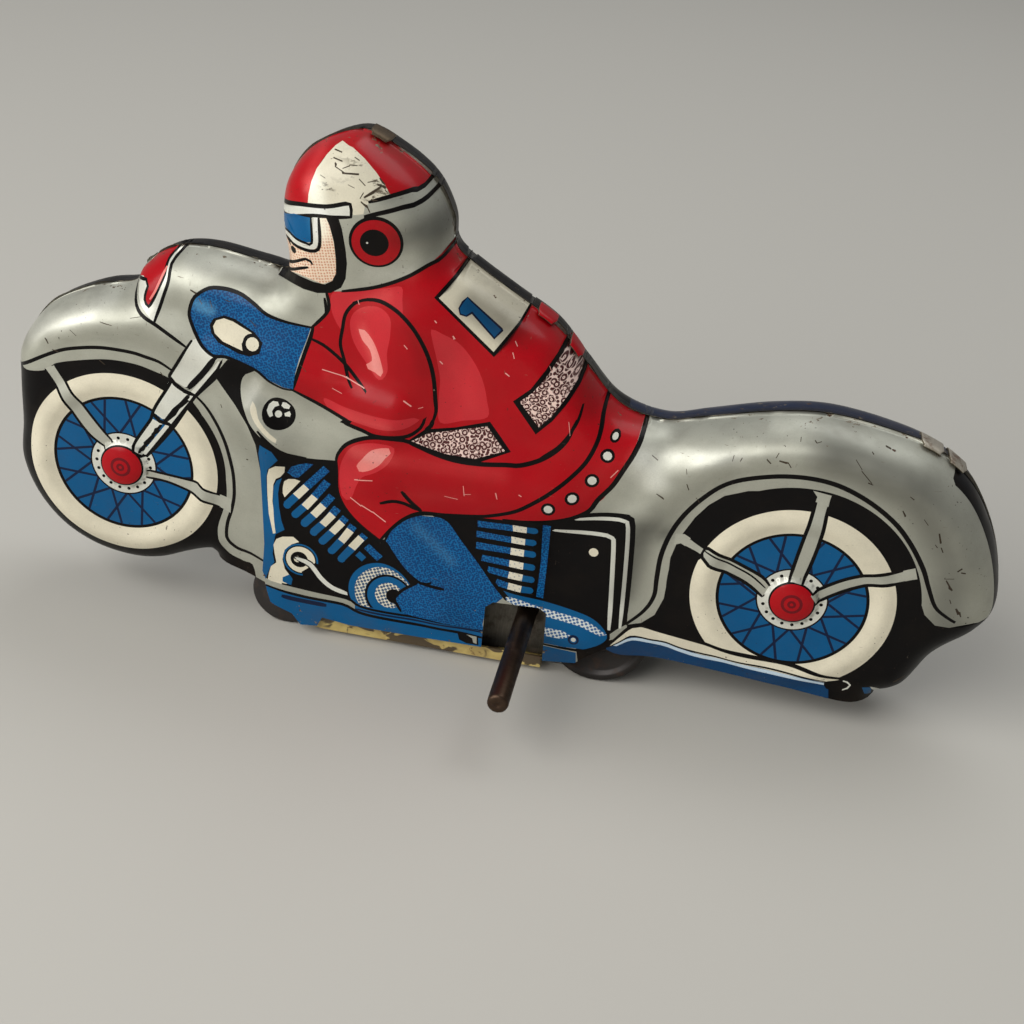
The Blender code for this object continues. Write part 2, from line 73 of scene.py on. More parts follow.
# the seam between the shells lies midway between the motor plates
SEAM_Y = (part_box("motor_plate_left")[0].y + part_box("motor_plate_right")[1].y) / 2 / MM
GAP = 0.15  # from the seam to each shell's edge
TIN = 0.36  # thickness of the sheet
FLANK = 7.4  # from the seam to the flat of the flank
SHOULDER = 5.2  # how far in from the edge the pressing is rounded
SHOULDER_POWER = 2.3  # 2 is a quarter circle, and more is squarer
# centres of the printed wheels
FRONT_HUB = (-52.7, 23.0)
REAR_HUB = (43.3, 19.4)

# ---------------------------------------------------------------- outline and relief

# the pressing's outline at the seam, from below the tank round the front, and over the top to the rear
CLOSED_EDGE = [
    (-31.4, 7.6), (-36, 9), (-40.4, 9), (-43.9, 7.8), (-48.1, 6), (-52.7, 5.4), (-58.7, 6.5),
    (-64, 9.5), (-67.9, 14.2), (-70, 19.9), (-69.7, 26.1), (-69.6, 33.1), (-68.8, 38.2),
    (-65.1, 43.3), (-58.8, 46.7), (-53, 48.3), (-50.9, 51.6), (-47.1, 54.2), (-42.1, 54.8),
    (-35.1, 53.9), (-31.4, 53.5), (-30.5, 56.5), (-31.4, 61.5), (-31, 66.8), (-27.9, 71.2),
    (-22.1, 74), (-17.2, 72.4), (-12, 68.9), (-9.1, 64.2), (-8.4, 60.3), (-5.9, 58.2),
    (0.1, 54.7), (6.2, 51.2), (10.7, 46.4), (15.8, 41.4), (21.9, 39.9), (27.8, 41.3),
    (36.3, 43.6), (43.9, 44.6), (52.6, 43.6), (58.8, 41.8), (64.4, 37.7), (68.8, 30.3),
    (70.9, 22.1), (69.1, 17.5), (64.4, 12.7), (60.8, 6.3), (54.2, 4.4), (43, 5.2), (27.4, 6.2),
    (21.3, 5.7), (19, 6.4),
]
# its lower edge from there back to the front, and the slot for the winding shaft in the left shell
SKIRT_REAR = [(16.6, 4.8), (14.9, 3.2), (10.2, 2.6)]
SHAFT_SLOT = [(10.0, 10.7), (8.8, 11.4), (2.3, 11.0), (1.2, 10.0), (1.2, 3.1)]
SKIRT_FRONT = [
    (-8.0, 2.9), (-18.5, 2.8), (-22.6, 3.3), (-23.3, 1.7), (-25.8, 1.4),
    (-27.2, 3.1), (-30.4, 4.2), (-31.0, 6.0),
]
# capsules standing on the flank: from, to, radius, rise
RELIEF = [
    ((-18.0, 33.5), (8.0, 29.0), 9.0, 1.7),
    ((-16.0, 26.0), (-5.0, 9.0), 5.5, 0.9),
    ((-12.0, 50.0), (-12.0, 41.0), 8.0, 1.4),
    ((-14.0, 38.5), (-36.0, 43.5), 5.5, 1.1),
    ((-21.0, 64.0), (-20.0, 65.0), 11.0, 1.3),
    ((-35.0, 33.5), (-30.0, 31.0), 6.0, 0.9),
]
# knocks in the tin: centre, radius, depth
DENTS = [
    ((25.5, 36.5), 3.4, 0.42), ((33.0, 38.6), 2.6, 0.30), ((47.0, 40.4), 3.0, 0.22),
    ((59.0, 36.5), 4.2, 0.14), ((63.5, 16.5), 3.0, 0.16), ((-63.5, 40.5), 2.6, 0.22),
    ((-45.0, 50.0), 3.0, 0.20), ((-13.0, 60.5), 2.6, 0.14), ((20.5, 30.5), 3.0, 0.24),
]
# joining tabs: where each crosses the seam, its paint and its half width
TABS = [
    ((-19.2, 73.9), "tin_rust", 1.5), ((4.6, 52.6), "red", 1.5), ((9.0, 49.0), "red", 1.4),
    ((57.0, 41.7), "tab_worn", 1.7), ((60.6, 39.6), "tab_worn", 1.6), ((65.2, 12.8), "black", 1.4),
    ((59.4, 5.4), "black", 1.3),
]

# ---------------------------------------------------------------- the printed picture
# Name, kind, paint, half width or radius, points. Later shapes lie over earlier ones. Kinds:
# area: closed and smoothly curved; plain: closed with straight sides; line: a brush line;
# disc: a circle round its one point; wheel: a whole printed wheel.
ART = [
    ("front_arch", "area", "black", 0, [(-70.2, 34.6), (-66.9, 35), (-63.7, 35.8), (-62.3, 37), (-59.1, 38),
        (-54.7, 38.9), (-50.8, 38.9), (-48, 38.3), (-45.3, 37.4), (-42.6, 35.6), (-42.3, 34.5),
        (-41.5, 33.5), (-40.5, 31.8), (-39.4, 29.8), (-38.6, 27.7), (-37.9, 25.5), (-37.5, 23.1),
        (-37.4, 20.4), (-37.9, 18.1), (-38.5, 16), (-38.7, 14.5), (-38.4, 12.6), (-36.9, 11.1),
        (-34.8, 10.4), (-33, 9.3), (-32.9, 1.1), (-38.3, -8.9), (-72.1, -16.1), (-74.4, 22)]),
    ("front_arch_line", "line", "black", 0.26, [(-69.8, 34.2), (-65.4, 37), (-63.3, 38.2), (-61, 39.3),
        (-58.5, 40), (-55.7, 40.5), (-52.9, 40.6), (-50.7, 40.5), (-49.1, 40.2), (-47.2, 39.8),
        (-45.3, 38.8)]),
    ("front_arch_line_rear", "line", "black", 0.26, [(-41.9, 35.5), (-40.7, 34.4), (-39.5, 32.9),
        (-38.5, 31.2), (-37.7, 29.2), (-37, 26.8), (-36.5, 24.6), (-36.3, 22.6), (-36.3, 20.5),
        (-36.7, 18.2), (-37.2, 16.4), (-37.4, 14.5), (-37.1, 13.3), (-35.7, 12.3), (-33.7, 11.9),
        (-31.2, 10.9)]),
    ("front_wheel", "wheel", "black", 0, []),
    ("front_stay", "plain", "silver_mid", 0, [(-63.9, 36), (-62.1, 33.2), (-59.9, 29.7), (-57.6, 26.8),
        (-55.2, 25.1), (-54.2, 26.2), (-56.1, 28.3), (-58.4, 31.2), (-60.5, 34), (-62.4, 36.7)]),
    ("front_stay_l", "line", "black", 0.2, [(-63.8, 35.8), (-62.1, 33.2), (-59.9, 29.6), (-57.6, 26.7),
        (-55.2, 25.1)]),
    ("front_stay_r", "line", "black", 0.2, [(-62.4, 36.7), (-60.5, 34), (-58.4, 31.2), (-56.1, 28.3),
        (-54.2, 26.2)]),
    ("front_stay_rear", "plain", "silver_mid", 0, [(-49.2, 22.6), (-46.3, 22.4), (-42.6, 22.1), (-41.6, 22),
        (-40.8, 21.3), (-37.5, 20.4), (-36.7, 20.2), (-36.8, 17.9), (-37.9, 18.4), (-41.1, 19.4),
        (-42.3, 20.1), (-46.1, 21.2), (-49.4, 21.4)]),
    ("front_stay_rear_t", "line", "black", 0.2, [(-49.2, 22.6), (-46.3, 22.4), (-42.6, 22.1), (-41.6, 22),
        (-40.8, 21.3), (-38.4, 20.5)]),
    ("front_stay_rear_b", "line", "black", 0.2, [(-49.4, 21.4), (-46.1, 21.2), (-42.3, 20.1), (-41.1, 19.4),
        (-38.5, 18.6)]),
    ("fork_shadow", "plain", "black", 0, [(-40.8, 38.6), (-37.6, 42.4), (-38.7, 38.9), (-42.3, 34.7),
        (-45.2, 29.9), (-49.1, 24.6), (-49.9, 24.9), (-46.5, 30.1)]),
    ("fork_rear_tube", "plain", "silver_light", 0, [(-38.3, 41.9), (-37.8, 41.8), (-41.7, 36.3),
        (-45.7, 30.3), (-49.4, 24.9), (-49.9, 25.2), (-46.3, 30.4), (-42.3, 36.5)]),
    ("fork_upper", "plain", "silver_light", 0, [(-42.1, 44.2), (-41.3, 44.5), (-40.2, 43.5), (-38.9, 42.4),
        (-42.8, 36.4), (-43.5, 36.6), (-45.2, 37.4), (-45.6, 38.1), (-45.3, 38.7), (-42.9, 42.9)]),
    ("fork_middle", "plain", "silver_light", 0, [(-45.7, 37.3), (-43.7, 35.7), (-43, 35.5), (-46.2, 31.3),
        (-46.8, 31.1), (-47.7, 31.7), (-48.2, 31.9), (-46.7, 35)]),
    ("fork_lower", "plain", "silver_light", 0, [(-48.3, 30.9), (-46.8, 30.3), (-50.3, 25.6),
        (-51.1, 26.2)]),
    ("fork_left", "line", "black", 0.24, [(-42.2, 44.1), (-42.9, 42.9), (-45.3, 38.7), (-45.7, 37.8),
        (-45.6, 36.9), (-48.1, 32.2), (-48.5, 30.8), (-51.1, 26.2), (-49.9, 24.9)]),
    ("fork_collar", "line", "black", 0.3, [(-45.7, 37.9), (-44.9, 36.8), (-43.5, 36), (-42.1, 35.6)]),
    ("fork_collar_low", "line", "black", 0.3, [(-48.2, 31.8), (-47.2, 30.7), (-45.9, 30.5), (-45.2, 29.9)]),
    ("fork_upper_core", "line", "black", 0.42, [(-38.9, 42.1), (-40.7, 39.4), (-43, 36.5)]),
    ("fork_core", "line", "black", 0.44, [(-43, 35.3), (-46.2, 31.1)]),
    ("fork_core_low", "line", "black", 0.32, [(-47.1, 30), (-50.2, 25.4)]),
    ("fork_right", "line", "black", 0.24, [(-37.8, 42), (-39.3, 38.9), (-42.1, 35.3), (-45.2, 30.1),
        (-49.1, 24.9), (-49.9, 24.8)]),
    ("fairing_gap", "plain", "black", 0, [(-39, 39.5), (-37, 42.4), (-34, 41.9), (-33.2, 41.3), (-35, 40.2),
        (-35.4, 38.7), (-35.2, 37.1), (-34.6, 35.3), (-33.8, 33.6), (-32.8, 32.4), (-31.7, 31.5),
        (-30.2, 30.6), (-28.8, 29.8), (-27.8, 29.4), (-25.7, 29.1), (-25.7, 27.6), (-28.8, 28.3),
        (-30.8, 29.5), (-31.6, 29.9), (-31.6, 25.3), (-31.3, 20.9), (-31.1, 14.7), (-30.7, 8.3),
        (-31.2, 8.2), (-31.6, 14.6), (-31.8, 20.8), (-32.3, 25.8), (-32.7, 30.5), (-33.9, 33.3),
        (-35.8, 35.8), (-37.6, 37.6)]),
    ("headlight_rim", "plain", "silver_light", 0, [(-50.3, 51.1), (-49, 51), (-49, 49.7), (-49.1, 48.6),
        (-48.5, 47.8), (-47.6, 49.1), (-46.8, 51.7), (-46.7, 53.6), (-45.9, 55.8), (-44.2, 56.9), (-46, 54),
        (-46, 53), (-46, 51.3), (-46.6, 49.2), (-47.2, 47.3), (-47.6, 45.9), (-48.6, 46.8), (-49.7, 47.7),
        (-50.4, 48.7), (-50.7, 50)]),
    ("headlight_glass", "area", "red", 0, [(-52, 50), (-51, 51.3), (-49, 53.4), (-47.5, 54.8), (-46, 56),
        (-46.3, 55), (-46.7, 53.4), (-46.7, 52.1), (-47.4, 50.3), (-47.9, 48.8), (-48.5, 47.9),
        (-49.1, 48.6), (-49.1, 49.3), (-48.9, 50.3), (-49.3, 50.8), (-50.2, 51)]),
    ("headlight_edge", "line", "black", 0.2, [(-45.9, 55.8), (-46.8, 53.7), (-46.6, 52.3), (-47.2, 50.4),
        (-47.9, 48.7), (-48.5, 47.8), (-49.2, 48.5), (-49.1, 49.5), (-48.9, 50.3), (-49.4, 50.9),
        (-51.6, 50.2)]),
    ("headlight_glint", "line", "pink", 0.16, [(-46.6, 53.1), (-47, 51.8), (-47.7, 49.9), (-48.4, 48.7)]),
    ("headlight_back", "line", "black", 0.24, [(-44.1, 57.1), (-45.9, 54), (-46, 53), (-45.9, 51.5),
        (-46.5, 49.3), (-47.1, 47.2), (-47.5, 45.7)]),
    ("headlight_front", "line", "black", 0.26, [(-51.2, 49.8), (-51, 48.6), (-50.4, 47.5), (-49.5, 46.7),
        (-48.4, 46.1), (-47.3, 45.6), (-45.2, 44.4), (-43, 43.1)]),
    ("tank_line", "line", "black", 0.22, [(-24, 53.2), (-23.7, 51.1), (-24.2, 49.3), (-25.8, 48.7)]),
    ("tank_glint", "area", "cream", 0, [(-33.4, 36.8), (-33.6, 36.1), (-33.5, 35.2), (-32.8, 33.9),
        (-31.8, 32.8), (-30.8, 31.9), (-29.8, 31.3), (-29.7, 31.8), (-30.6, 32.5), (-31.6, 33.5),
        (-32.4, 34.6), (-32.8, 35.9)]),
    ("tank_edge", "line", "black", 0.24, [(-33.5, 41.3), (-34.3, 41), (-35.1, 40), (-35.4, 38.7),
        (-35.2, 37.1), (-34.6, 35.3), (-33.8, 33.6), (-32.8, 32.4), (-31.7, 31.5), (-30.2, 30.6),
        (-28.8, 29.8), (-27.8, 29.4), (-25.7, 29.1)]),
    ("tank_edge_rear", "line", "black", 0.24, [(-32.4, 32.8), (-30.9, 31.3), (-29, 29.9), (-26.9, 29),
        (-24.3, 29), (-21.3, 29.7)]),
    ("engine_zone", "plain", "black", 0, [(-32.2, 30), (-30.9, 30.9), (-29, 29.7), (-26.9, 28.9),
        (-24.3, 28.9), (-21.2, 29.7), (-21.2, 25.3), (-20.3, 22.9), (-18.7, 20.9), (-16.5, 19.4),
        (-14.6, 18.2), (-12.2, 19.6), (-7.4, 13.8), (-7.1, 7), (-18.4, 6.6), (-28.2, 7), (-31, 7.8),
        (-31.3, 10.8), (-31.9, 20.9), (-32.3, 25.8)]),
    ("engine_blue_edge", "plain", "blue", 0, [(-32, 30.7), (-30.3, 29.9), (-29.5, 28.6), (-30.4, 27.5),
        (-31.1, 26.6), (-31.4, 25.1), (-31.3, 21.8), (-30.6, 17.7), (-29.9, 16.1), (-30.1, 15),
        (-30.3, 12.7), (-30, 11.3), (-30.7, 10.1), (-31.3, 8.1), (-31.8, 9.4), (-31.6, 13.9), (-32, 20.3),
        (-32.3, 25.2), (-32.3, 29.2)]),
    ("engine_white_bar", "plain", "cream", 0, [(-28.6, 27.5), (-28.7, 26.5), (-29.3, 25.6), (-30, 25.1),
        (-30.4, 24), (-30.5, 21.3), (-30.1, 18.2), (-29.8, 16.2), (-30.3, 16), (-31, 19.1), (-31.3, 22.5),
        (-31.3, 25.3), (-30.9, 26.7), (-29.9, 27.5)]),
    ("engine_blue_bar", "plain", "blue", 0, [(-29.1, 25.4), (-29.5, 24.2), (-29.7, 22.6), (-29.5, 20.5),
        (-29.1, 18.4), (-28.6, 17), (-29.9, 16), (-30.2, 18.2), (-30.4, 21), (-30.4, 23.6), (-29.9, 24.8)]),
    ("fin_top_blue", "plain", "stipple_blue", 0, [(-28.3, 26.5), (-27.8, 27.5), (-26.7, 28), (-25.6, 28.3),
        (-24.7, 28.3), (-26.8, 25.8), (-27.5, 25.8)]),
    ("fin_top_white", "plain", "cream", 0, [(-29, 23.9), (-28.8, 24.9), (-28.2, 25.4), (-27.3, 25.5),
        (-26.5, 25.3), (-27.6, 23.8), (-28.7, 22.3), (-29, 22.9)]),
    ("fin0_end", "disc", "blue", 0.57, [(-28.3, 21.1)]),
    ("fin0", "plain", "blue", 0, [(-28.8, 21.5), (-26.8, 24), (-25.9, 23.3), (-27.9, 20.8)]),
    ("fin0_s", "plain", "stipple_blue", 0, [(-26.8, 24), (-23.2, 28.4), (-22.3, 27.7), (-25.9, 23.3)]),
    ("fin0_w", "plain", "cream", 0, [(-27.5, 23.1), (-26, 24.9), (-25.2, 24.2), (-26.6, 22.4)]),
    ("fin1_end", "disc", "blue", 0.57, [(-27.1, 19.8)]),
    ("fin1", "plain", "blue", 0, [(-27.5, 20.2), (-25.5, 22.6), (-24.6, 21.9), (-26.7, 19.4)]),
    ("fin1_s", "plain", "stipple_blue", 0, [(-25.5, 22.5), (-23.1, 26.2), (-22.1, 25.6), (-24.6, 21.9)]),
    ("fin1_w", "plain", "cream", 0, [(-26.2, 21.6), (-24.8, 23.5), (-23.9, 22.9), (-25.3, 20.9)]),
    ("fin2_end", "disc", "blue", 0.57, [(-25.7, 18.6)]),
    ("fin2", "plain", "blue", 0, [(-26.2, 19), (-24.2, 21.4), (-23.3, 20.7), (-25.3, 18.2)]),
    ("fin2_s", "plain", "stipple_blue", 0, [(-24.2, 21.4), (-22.3, 24.1), (-21.4, 23.5), (-23.3, 20.7)]),
    ("fin2_w", "plain", "cream", 0, [(-24.9, 20.5), (-23.5, 22.4), (-22.6, 21.7), (-24, 19.8)]),
    ("fin3_end", "disc", "blue", 0.57, [(-24.3, 17.4)]),
    ("fin3", "plain", "blue", 0, [(-24.8, 17.8), (-22.8, 20.2), (-21.9, 19.5), (-23.9, 17.1)]),
    ("fin3_s", "plain", "stipple_blue", 0, [(-22.8, 20.2), (-21.5, 22.3), (-20.5, 21.7), (-21.9, 19.6)]),
    ("fin3_w", "plain", "cream", 0, [(-23.5, 19.2), (-22.1, 21.2), (-21.2, 20.5), (-22.6, 18.6)]),
    ("fin4_end", "disc", "blue", 0.57, [(-23, 16.2)]),
    ("fin4", "plain", "blue", 0, [(-23.4, 16.6), (-21.4, 19.2), (-20.5, 18.5), (-22.5, 15.9)]),
    ("fin4_s", "plain", "stipple_blue", 0, [(-21.4, 19.2), (-20.2, 21), (-19.3, 20.4), (-20.5, 18.6)]),
    ("fin4_w", "plain", "cream", 0, [(-22.1, 18.2), (-20.7, 20.2), (-19.8, 19.5), (-21.2, 17.6)]),
    ("fin5_end", "disc", "blue", 0.57, [(-21.6, 14.9)]),
    ("fin5", "plain", "blue", 0, [(-22, 15.2), (-20.1, 18.1), (-19.1, 17.4), (-21.1, 14.6)]),
    ("fin5_s", "plain", "stipple_blue", 0, [(-20.1, 18), (-19.1, 19.9), (-18.1, 19.3), (-19.1, 17.5)]),
    ("fin5_w", "plain", "cream", 0, [(-20.7, 17), (-19.5, 19.1), (-18.5, 18.5), (-19.8, 16.4)]),
    ("fin6_end", "disc", "blue", 0.57, [(-20.1, 13.8)]),
    ("fin6", "plain", "blue", 0, [(-20.6, 14.1), (-18.5, 17.2), (-17.5, 16.5), (-19.7, 13.5)]),
    ("fin6_s", "plain", "stipple_blue", 0, [(-18.5, 17.2), (-17.3, 18.7), (-16.4, 18.1), (-17.6, 16.5)]),
    ("fin6_w", "plain", "cream", 0, [(-19.2, 16.2), (-17.8, 18.2), (-16.9, 17.5), (-18.2, 15.6)]),
    ("fin_low", "plain", "blue", 0, [(-17.5, 15.6), (-16.5, 14.8), (-17.1, 14), (-18.1, 14.8)]),
    ("fin_low2", "plain", "stipple_blue", 0, [(-16.2, 17.1), (-14.1, 15.5), (-14.9, 14.5), (-16.9, 16.2)]),
    ("cover_flare", "plain", "cream", 0, [(-30.2, 14.2), (-29.8, 15.2), (-28.9, 15.8), (-27.3, 16.1),
        (-26.4, 15.4), (-27.5, 14.8), (-28.5, 13.7), (-28.8, 12), (-28.4, 10.5), (-27.7, 9.6), (-28.7, 8.7),
        (-27.9, 8.1), (-29, 7.6), (-31, 7.7), (-30.8, 9.3), (-30.5, 10.5), (-29.7, 11.3), (-30, 12.8)]),
    ("cover_blue", "plain", "blue", 0, [(-28.7, 9), (-27.7, 9.7), (-27.2, 9), (-27.4, 7.9), (-28.7, 8.3)]),
    ("cover_a", "disc", "blue", 2.62, [(-26.1, 12.5)]),
    ("cover_b", "disc", "black", 2.36, [(-26.1, 12.5)]),
    ("cover_c", "disc", "cream", 2.16, [(-26.1, 12.5)]),
    ("cover_d", "disc", "black", 1.3, [(-26.3, 12.5)]),
    ("cover_e", "disc", "cream", 0.52, [(-26.6, 12.5)]),
    ("cover_cut", "plain", "black", 0, [(-25.1, 11.2), (-23.9, 12.4), (-22.9, 12), (-22.5, 9.2),
        (-25.4, 9.3), (-25.9, 10.5)]),
    ("kick_lever_line", "line", "black", 0.58, [(-26.6, 12.6), (-24.7, 12), (-22.9, 9.9), (-21.2, 8.7),
        (-18.9, 8.1)]),
    ("kick_lever", "line", "silver_light", 0.36, [(-26.6, 12.6), (-24.7, 12), (-22.9, 9.9), (-21.2, 8.7),
        (-18.9, 8.1)]),
    ("gear_a", "disc", "black", 5.12, [(-14, 9.3)]),
    ("gear_b", "disc", "blue", 4.86, [(-14, 9.4)]),
    ("gear_c", "disc", "stipple_cream", 4.35, [(-13.6, 9.3)]),
    ("gear_d", "disc", "black", 3.72, [(-12.7, 8.9)]),
    ("gear_e", "disc", "blue", 3.35, [(-12.7, 8.9)]),
    ("gear_f", "disc", "stipple_cream", 2.12, [(-12.8, 9.1)]),
    ("gear_g", "disc", "black", 1.2, [(-12.1, 9.1)]),
    ("skirt", "plain", "blue", 0, [(-31.2, 7.4), (-27.9, 6.9), (-23.9, 6.6), (-19, 6.4), (-16.5, 5.5),
        (-10.4, 5.4), (-4.3, 5.4), (1.7, 5.1), (6.5, 5.4), (10.7, 5.2), (14.9, 5), (15.5, -0.6),
        (2.4, -3.4), (-31.8, -2.1), (-32.5, 3.5)]),
    ("skirt_rear", "plain", "black", 0, [(14.7, 6.4), (18.1, 7.4), (20.9, 8.6), (22.4, 8.2), (23.2, 2.1),
        (15.9, 0.9)]),
    ("board", "plain", "silver", 0, [(-31.2, 8.3), (-30.5, 8), (-27.9, 7.7), (-23.9, 7.5), (-19, 7.2),
        (-17.1, 6.3), (-16.5, 5.4), (-19.6, 6.3), (-24.5, 6.4), (-28.2, 6.7), (-31.2, 7.2)]),
    ("board_rear", "plain", "blue", 0, [(-17.8, 6.6), (-13.5, 6.4), (-4.3, 6.7), (1.6, 6.2), (1.8, 4.4),
        (-4.3, 4.6), (-13.4, 4.4), (-17.7, 4.9)]),
    ("board_mid", "line", "navy", 0.16, [(-17.7, 5.8), (-13.4, 5.6), (-4.3, 5.8), (1.5, 5.6)]),
    ("board_top", "line", "black", 0.2, [(-28.8, 7.9), (-23.9, 7.6), (-19, 7.3), (-17.1, 6.4), (-13.5, 6.1),
        (-4.3, 6.3), (1.5, 5.9)]),
    ("board_low", "line", "black", 0.24, [(-31.2, 7.1), (-28.2, 6.6), (-24.5, 6.3), (-19.6, 6.2),
        (-17.1, 5.3), (-13.4, 5), (-4.3, 5), (1.6, 4.7)]),
    ("skirt_band", "line", "navy", 0.36, [(-28.8, 5.8), (-26.6, 5.6), (-22, 5.5)]),
    ("skirt_hole", "plain", "black", 0, [(-2.4, 4.7), (-1.1, 4.9), (0.6, 4.8), (0.8, 3.3), (-1, 3.3),
        (-2.1, 3.7)]),
    ("skirt_clip", "plain", "silver", 0, [(-1.1, 4.8), (0.4, 4.7), (0.5, 3.5), (-0, 3.6), (-0.2, 4.3)]),
    ("rear_zone", "plain", "black", 0, [(-7.7, 23.5), (-1.3, 24.6), (5.9, 25.6), (9.8, 26.6), (12.4, 27.6),
        (19, 28.5), (20.2, 28.1), (20.4, 26.5), (21.5, 11), (20.1, 9.8), (19, 8.6), (15.9, 5.9), (9.1, 8.7),
        (4.1, 11.8), (0.1, 17.2), (-4.7, 22.2)]),
    ("rfin0_end", "disc", "blue", 0.52, [(7.1, 24.1)]),
    ("rfin0", "plain", "stipple_blue", 0, [(-1, 24), (4.2, 24.4), (4.2, 23.3), (-0.9, 22.9)]),
    ("rfin0_b", "plain", "blue", 0, [(6, 24.5), (7, 24.6), (7.1, 23.5), (6, 23.5)]),
    ("rfin0_w", "plain", "cream_flat", 0, [(4, 24.4), (6, 24.5), (6, 23.4), (4.1, 23.3)]),
    ("rfin1_end", "disc", "blue", 0.52, [(7, 21.9)]),
    ("rfin1", "plain", "stipple_blue", 0, [(-1, 22.2), (4.1, 22.2), (4.1, 21.2), (-1, 21.2)]),
    ("rfin1_b", "plain", "blue", 0, [(5.8, 22.3), (7, 22.4), (7.1, 21.3), (5.9, 21.3)]),
    ("rfin1_w", "plain", "cream_flat", 0, [(3.9, 22.3), (5.9, 22.3), (5.9, 21.2), (4, 21.2)]),
    ("rfin2_end", "disc", "blue", 0.52, [(7.1, 19.9)]),
    ("rfin2", "plain", "stipple_blue", 0, [(-0.9, 20.4), (4.1, 20.4), (4.1, 19.4), (-0.9, 19.3)]),
    ("rfin2_b", "plain", "blue", 0, [(5.9, 20.4), (7.1, 20.4), (7.1, 19.4), (5.9, 19.4)]),
    ("rfin2_w", "plain", "cream_flat", 0, [(4, 20.4), (5.9, 20.4), (5.9, 19.3), (4, 19.3)]),
    ("rfin3_end", "disc", "blue", 0.52, [(7.2, 17.8)]),
    ("rfin3", "plain", "stipple_blue", 0, [(0.1, 18.5), (4.2, 18.4), (4.1, 17.3), (0, 17.5)]),
    ("rfin3_b", "plain", "blue", 0, [(6, 18.3), (7.2, 18.3), (7.2, 17.3), (6, 17.3)]),
    ("rfin3_w", "plain", "cream_flat", 0, [(4, 18.4), (6, 18.3), (6, 17.2), (4, 17.3)]),
    ("rfin4_end", "disc", "blue", 0.52, [(7.3, 15.8)]),
    ("rfin4", "plain", "stipple_blue", 0, [(1.1, 16.8), (4.3, 16.5), (4.1, 15.4), (1, 15.8)]),
    ("rfin4_b", "plain", "blue", 0, [(6, 16.3), (7.3, 16.3), (7.2, 15.3), (6, 15.3)]),
    ("rfin4_w", "plain", "cream_flat", 0, [(4.1, 16.5), (6.1, 16.4), (6, 15.3), (4, 15.4)]),
    ("rfin5_end", "disc", "blue", 0.52, [(7.3, 14)]),
    ("rfin5", "plain", "stipple_blue", 0, [(2.5, 15), (4.4, 14.6), (4.2, 13.6), (2.3, 13.9)]),
    ("rfin5_b", "plain", "blue", 0, [(6.1, 14.5), (7.3, 14.5), (7.3, 13.5), (6.1, 13.4)]),
    ("rfin5_w", "plain", "cream_flat", 0, [(4.2, 14.7), (6.1, 14.5), (6, 13.4), (4.1, 13.6)]),
    ("rfin_strip", "plain", "stipple_blue", 0, [(8.2, 25.5), (9.3, 25.5), (9.3, 19), (9.3, 13), (8.3, 13),
        (8.4, 18.8)]),
    ("box_edge", "line", "black", 0.28, [(12.2, 27.6), (18.7, 28.4), (19.8, 28.3), (20.4, 27.2),
        (20.9, 19.4), (21.2, 10.9)]),
    ("box_frame", "line", "silver_light", 0.28, [(12.7, 27), (18.4, 27.7), (19.2, 27.6), (19.7, 26.7),
        (20.2, 19.3), (20.6, 10.1)]),
    ("box_frame_in", "line", "silver_light", 0.31, [(9.9, 24.8), (17, 24.9), (17.8, 24.6), (18.1, 23.3),
        (18.7, 15.7), (19.1, 9.6)]),
    ("box_stud", "disc", "cream", 0.68, [(15.5, 21.9)]),
    ("boot", "plain", "stipple_blue", 0, [(-13.8, 18.4), (-13.1, 20.4), (-11.5, 22.2), (-9.4, 23.1),
        (-6.2, 23.3), (-4.9, 22.7), (-2.8, 20.3), (-0.2, 17.1), (2.1, 14.2), (3.6, 12), (2.4, 10.6),
        (1.3, 9.5), (1.1, 7), (1.3, 6), (-4.3, 6.2), (-10.4, 6.4), (-11.6, 7.8), (-12, 8.9), (-10.7, 10.7),
        (-8.7, 12.5), (-10.5, 14.1), (-12.4, 16.4)]),
    ("boot_front", "line", "black", 0.28, [(-14.6, 18.2), (-13.8, 18.2), (-12.4, 16.2), (-10.5, 14),
        (-8.2, 12.6), (-6.8, 12.9)]),
    ("boot_back", "line", "black", 0.3, [(-6.8, 23.6), (-4.9, 22.9), (-2.8, 20.3), (-0.2, 17.2),
        (2.1, 14.2), (4.1, 11.8)]),
    ("boot_fold", "line", "black", 0.24, [(-8.2, 12.6), (-6.7, 12.4), (-4.8, 12.1)]),
    ("boot_sole", "line", "black", 0.24, [(-8.7, 12.5), (-10.7, 10.7), (-12, 8.8), (-11.6, 7.8),
        (-10.9, 6.7)]),
    ("boot_top", "line", "black", 0.22, [(-13.8, 18.4), (-13, 20.6), (-11.4, 22.3), (-9.2, 23.3),
        (-6.8, 23.6)]),
    ("leaf", "plain", "blue", 0, [(3.5, 13.3), (5.2, 13), (9.3, 12.8), (13.8, 12.1), (16.8, 11.2),
        (18.7, 9.6), (19.1, 8.2), (18.3, 7), (16, 5.8), (13, 5.6), (9.7, 5.7), (8.6, 8.6), (7.7, 10.9),
        (5.3, 11.4)]),
    ("leaf_dots", "line", "stipple_white", 0.62, [(4.4, 12), (8, 11.1), (12.5, 10.5), (15.5, 10),
        (18.1, 8.8)]),
    ("leaf_dots_low", "line", "stipple_white", 0.7, [(9.5, 7.7), (11.2, 7.6), (13.1, 7.6)]),
    ("leaf_edge", "line", "black", 0.22, [(3.5, 13.4), (5.2, 13.1), (9.3, 12.9), (13.8, 12.2), (16.8, 11.3),
        (18.7, 9.6), (19.2, 8.2), (18.3, 6.9), (16, 5.6), (13, 5.4), (9.8, 5.5)]),
    ("leaf_ring", "disc", "navy", 0.82, [(14.3, 7.1)]),
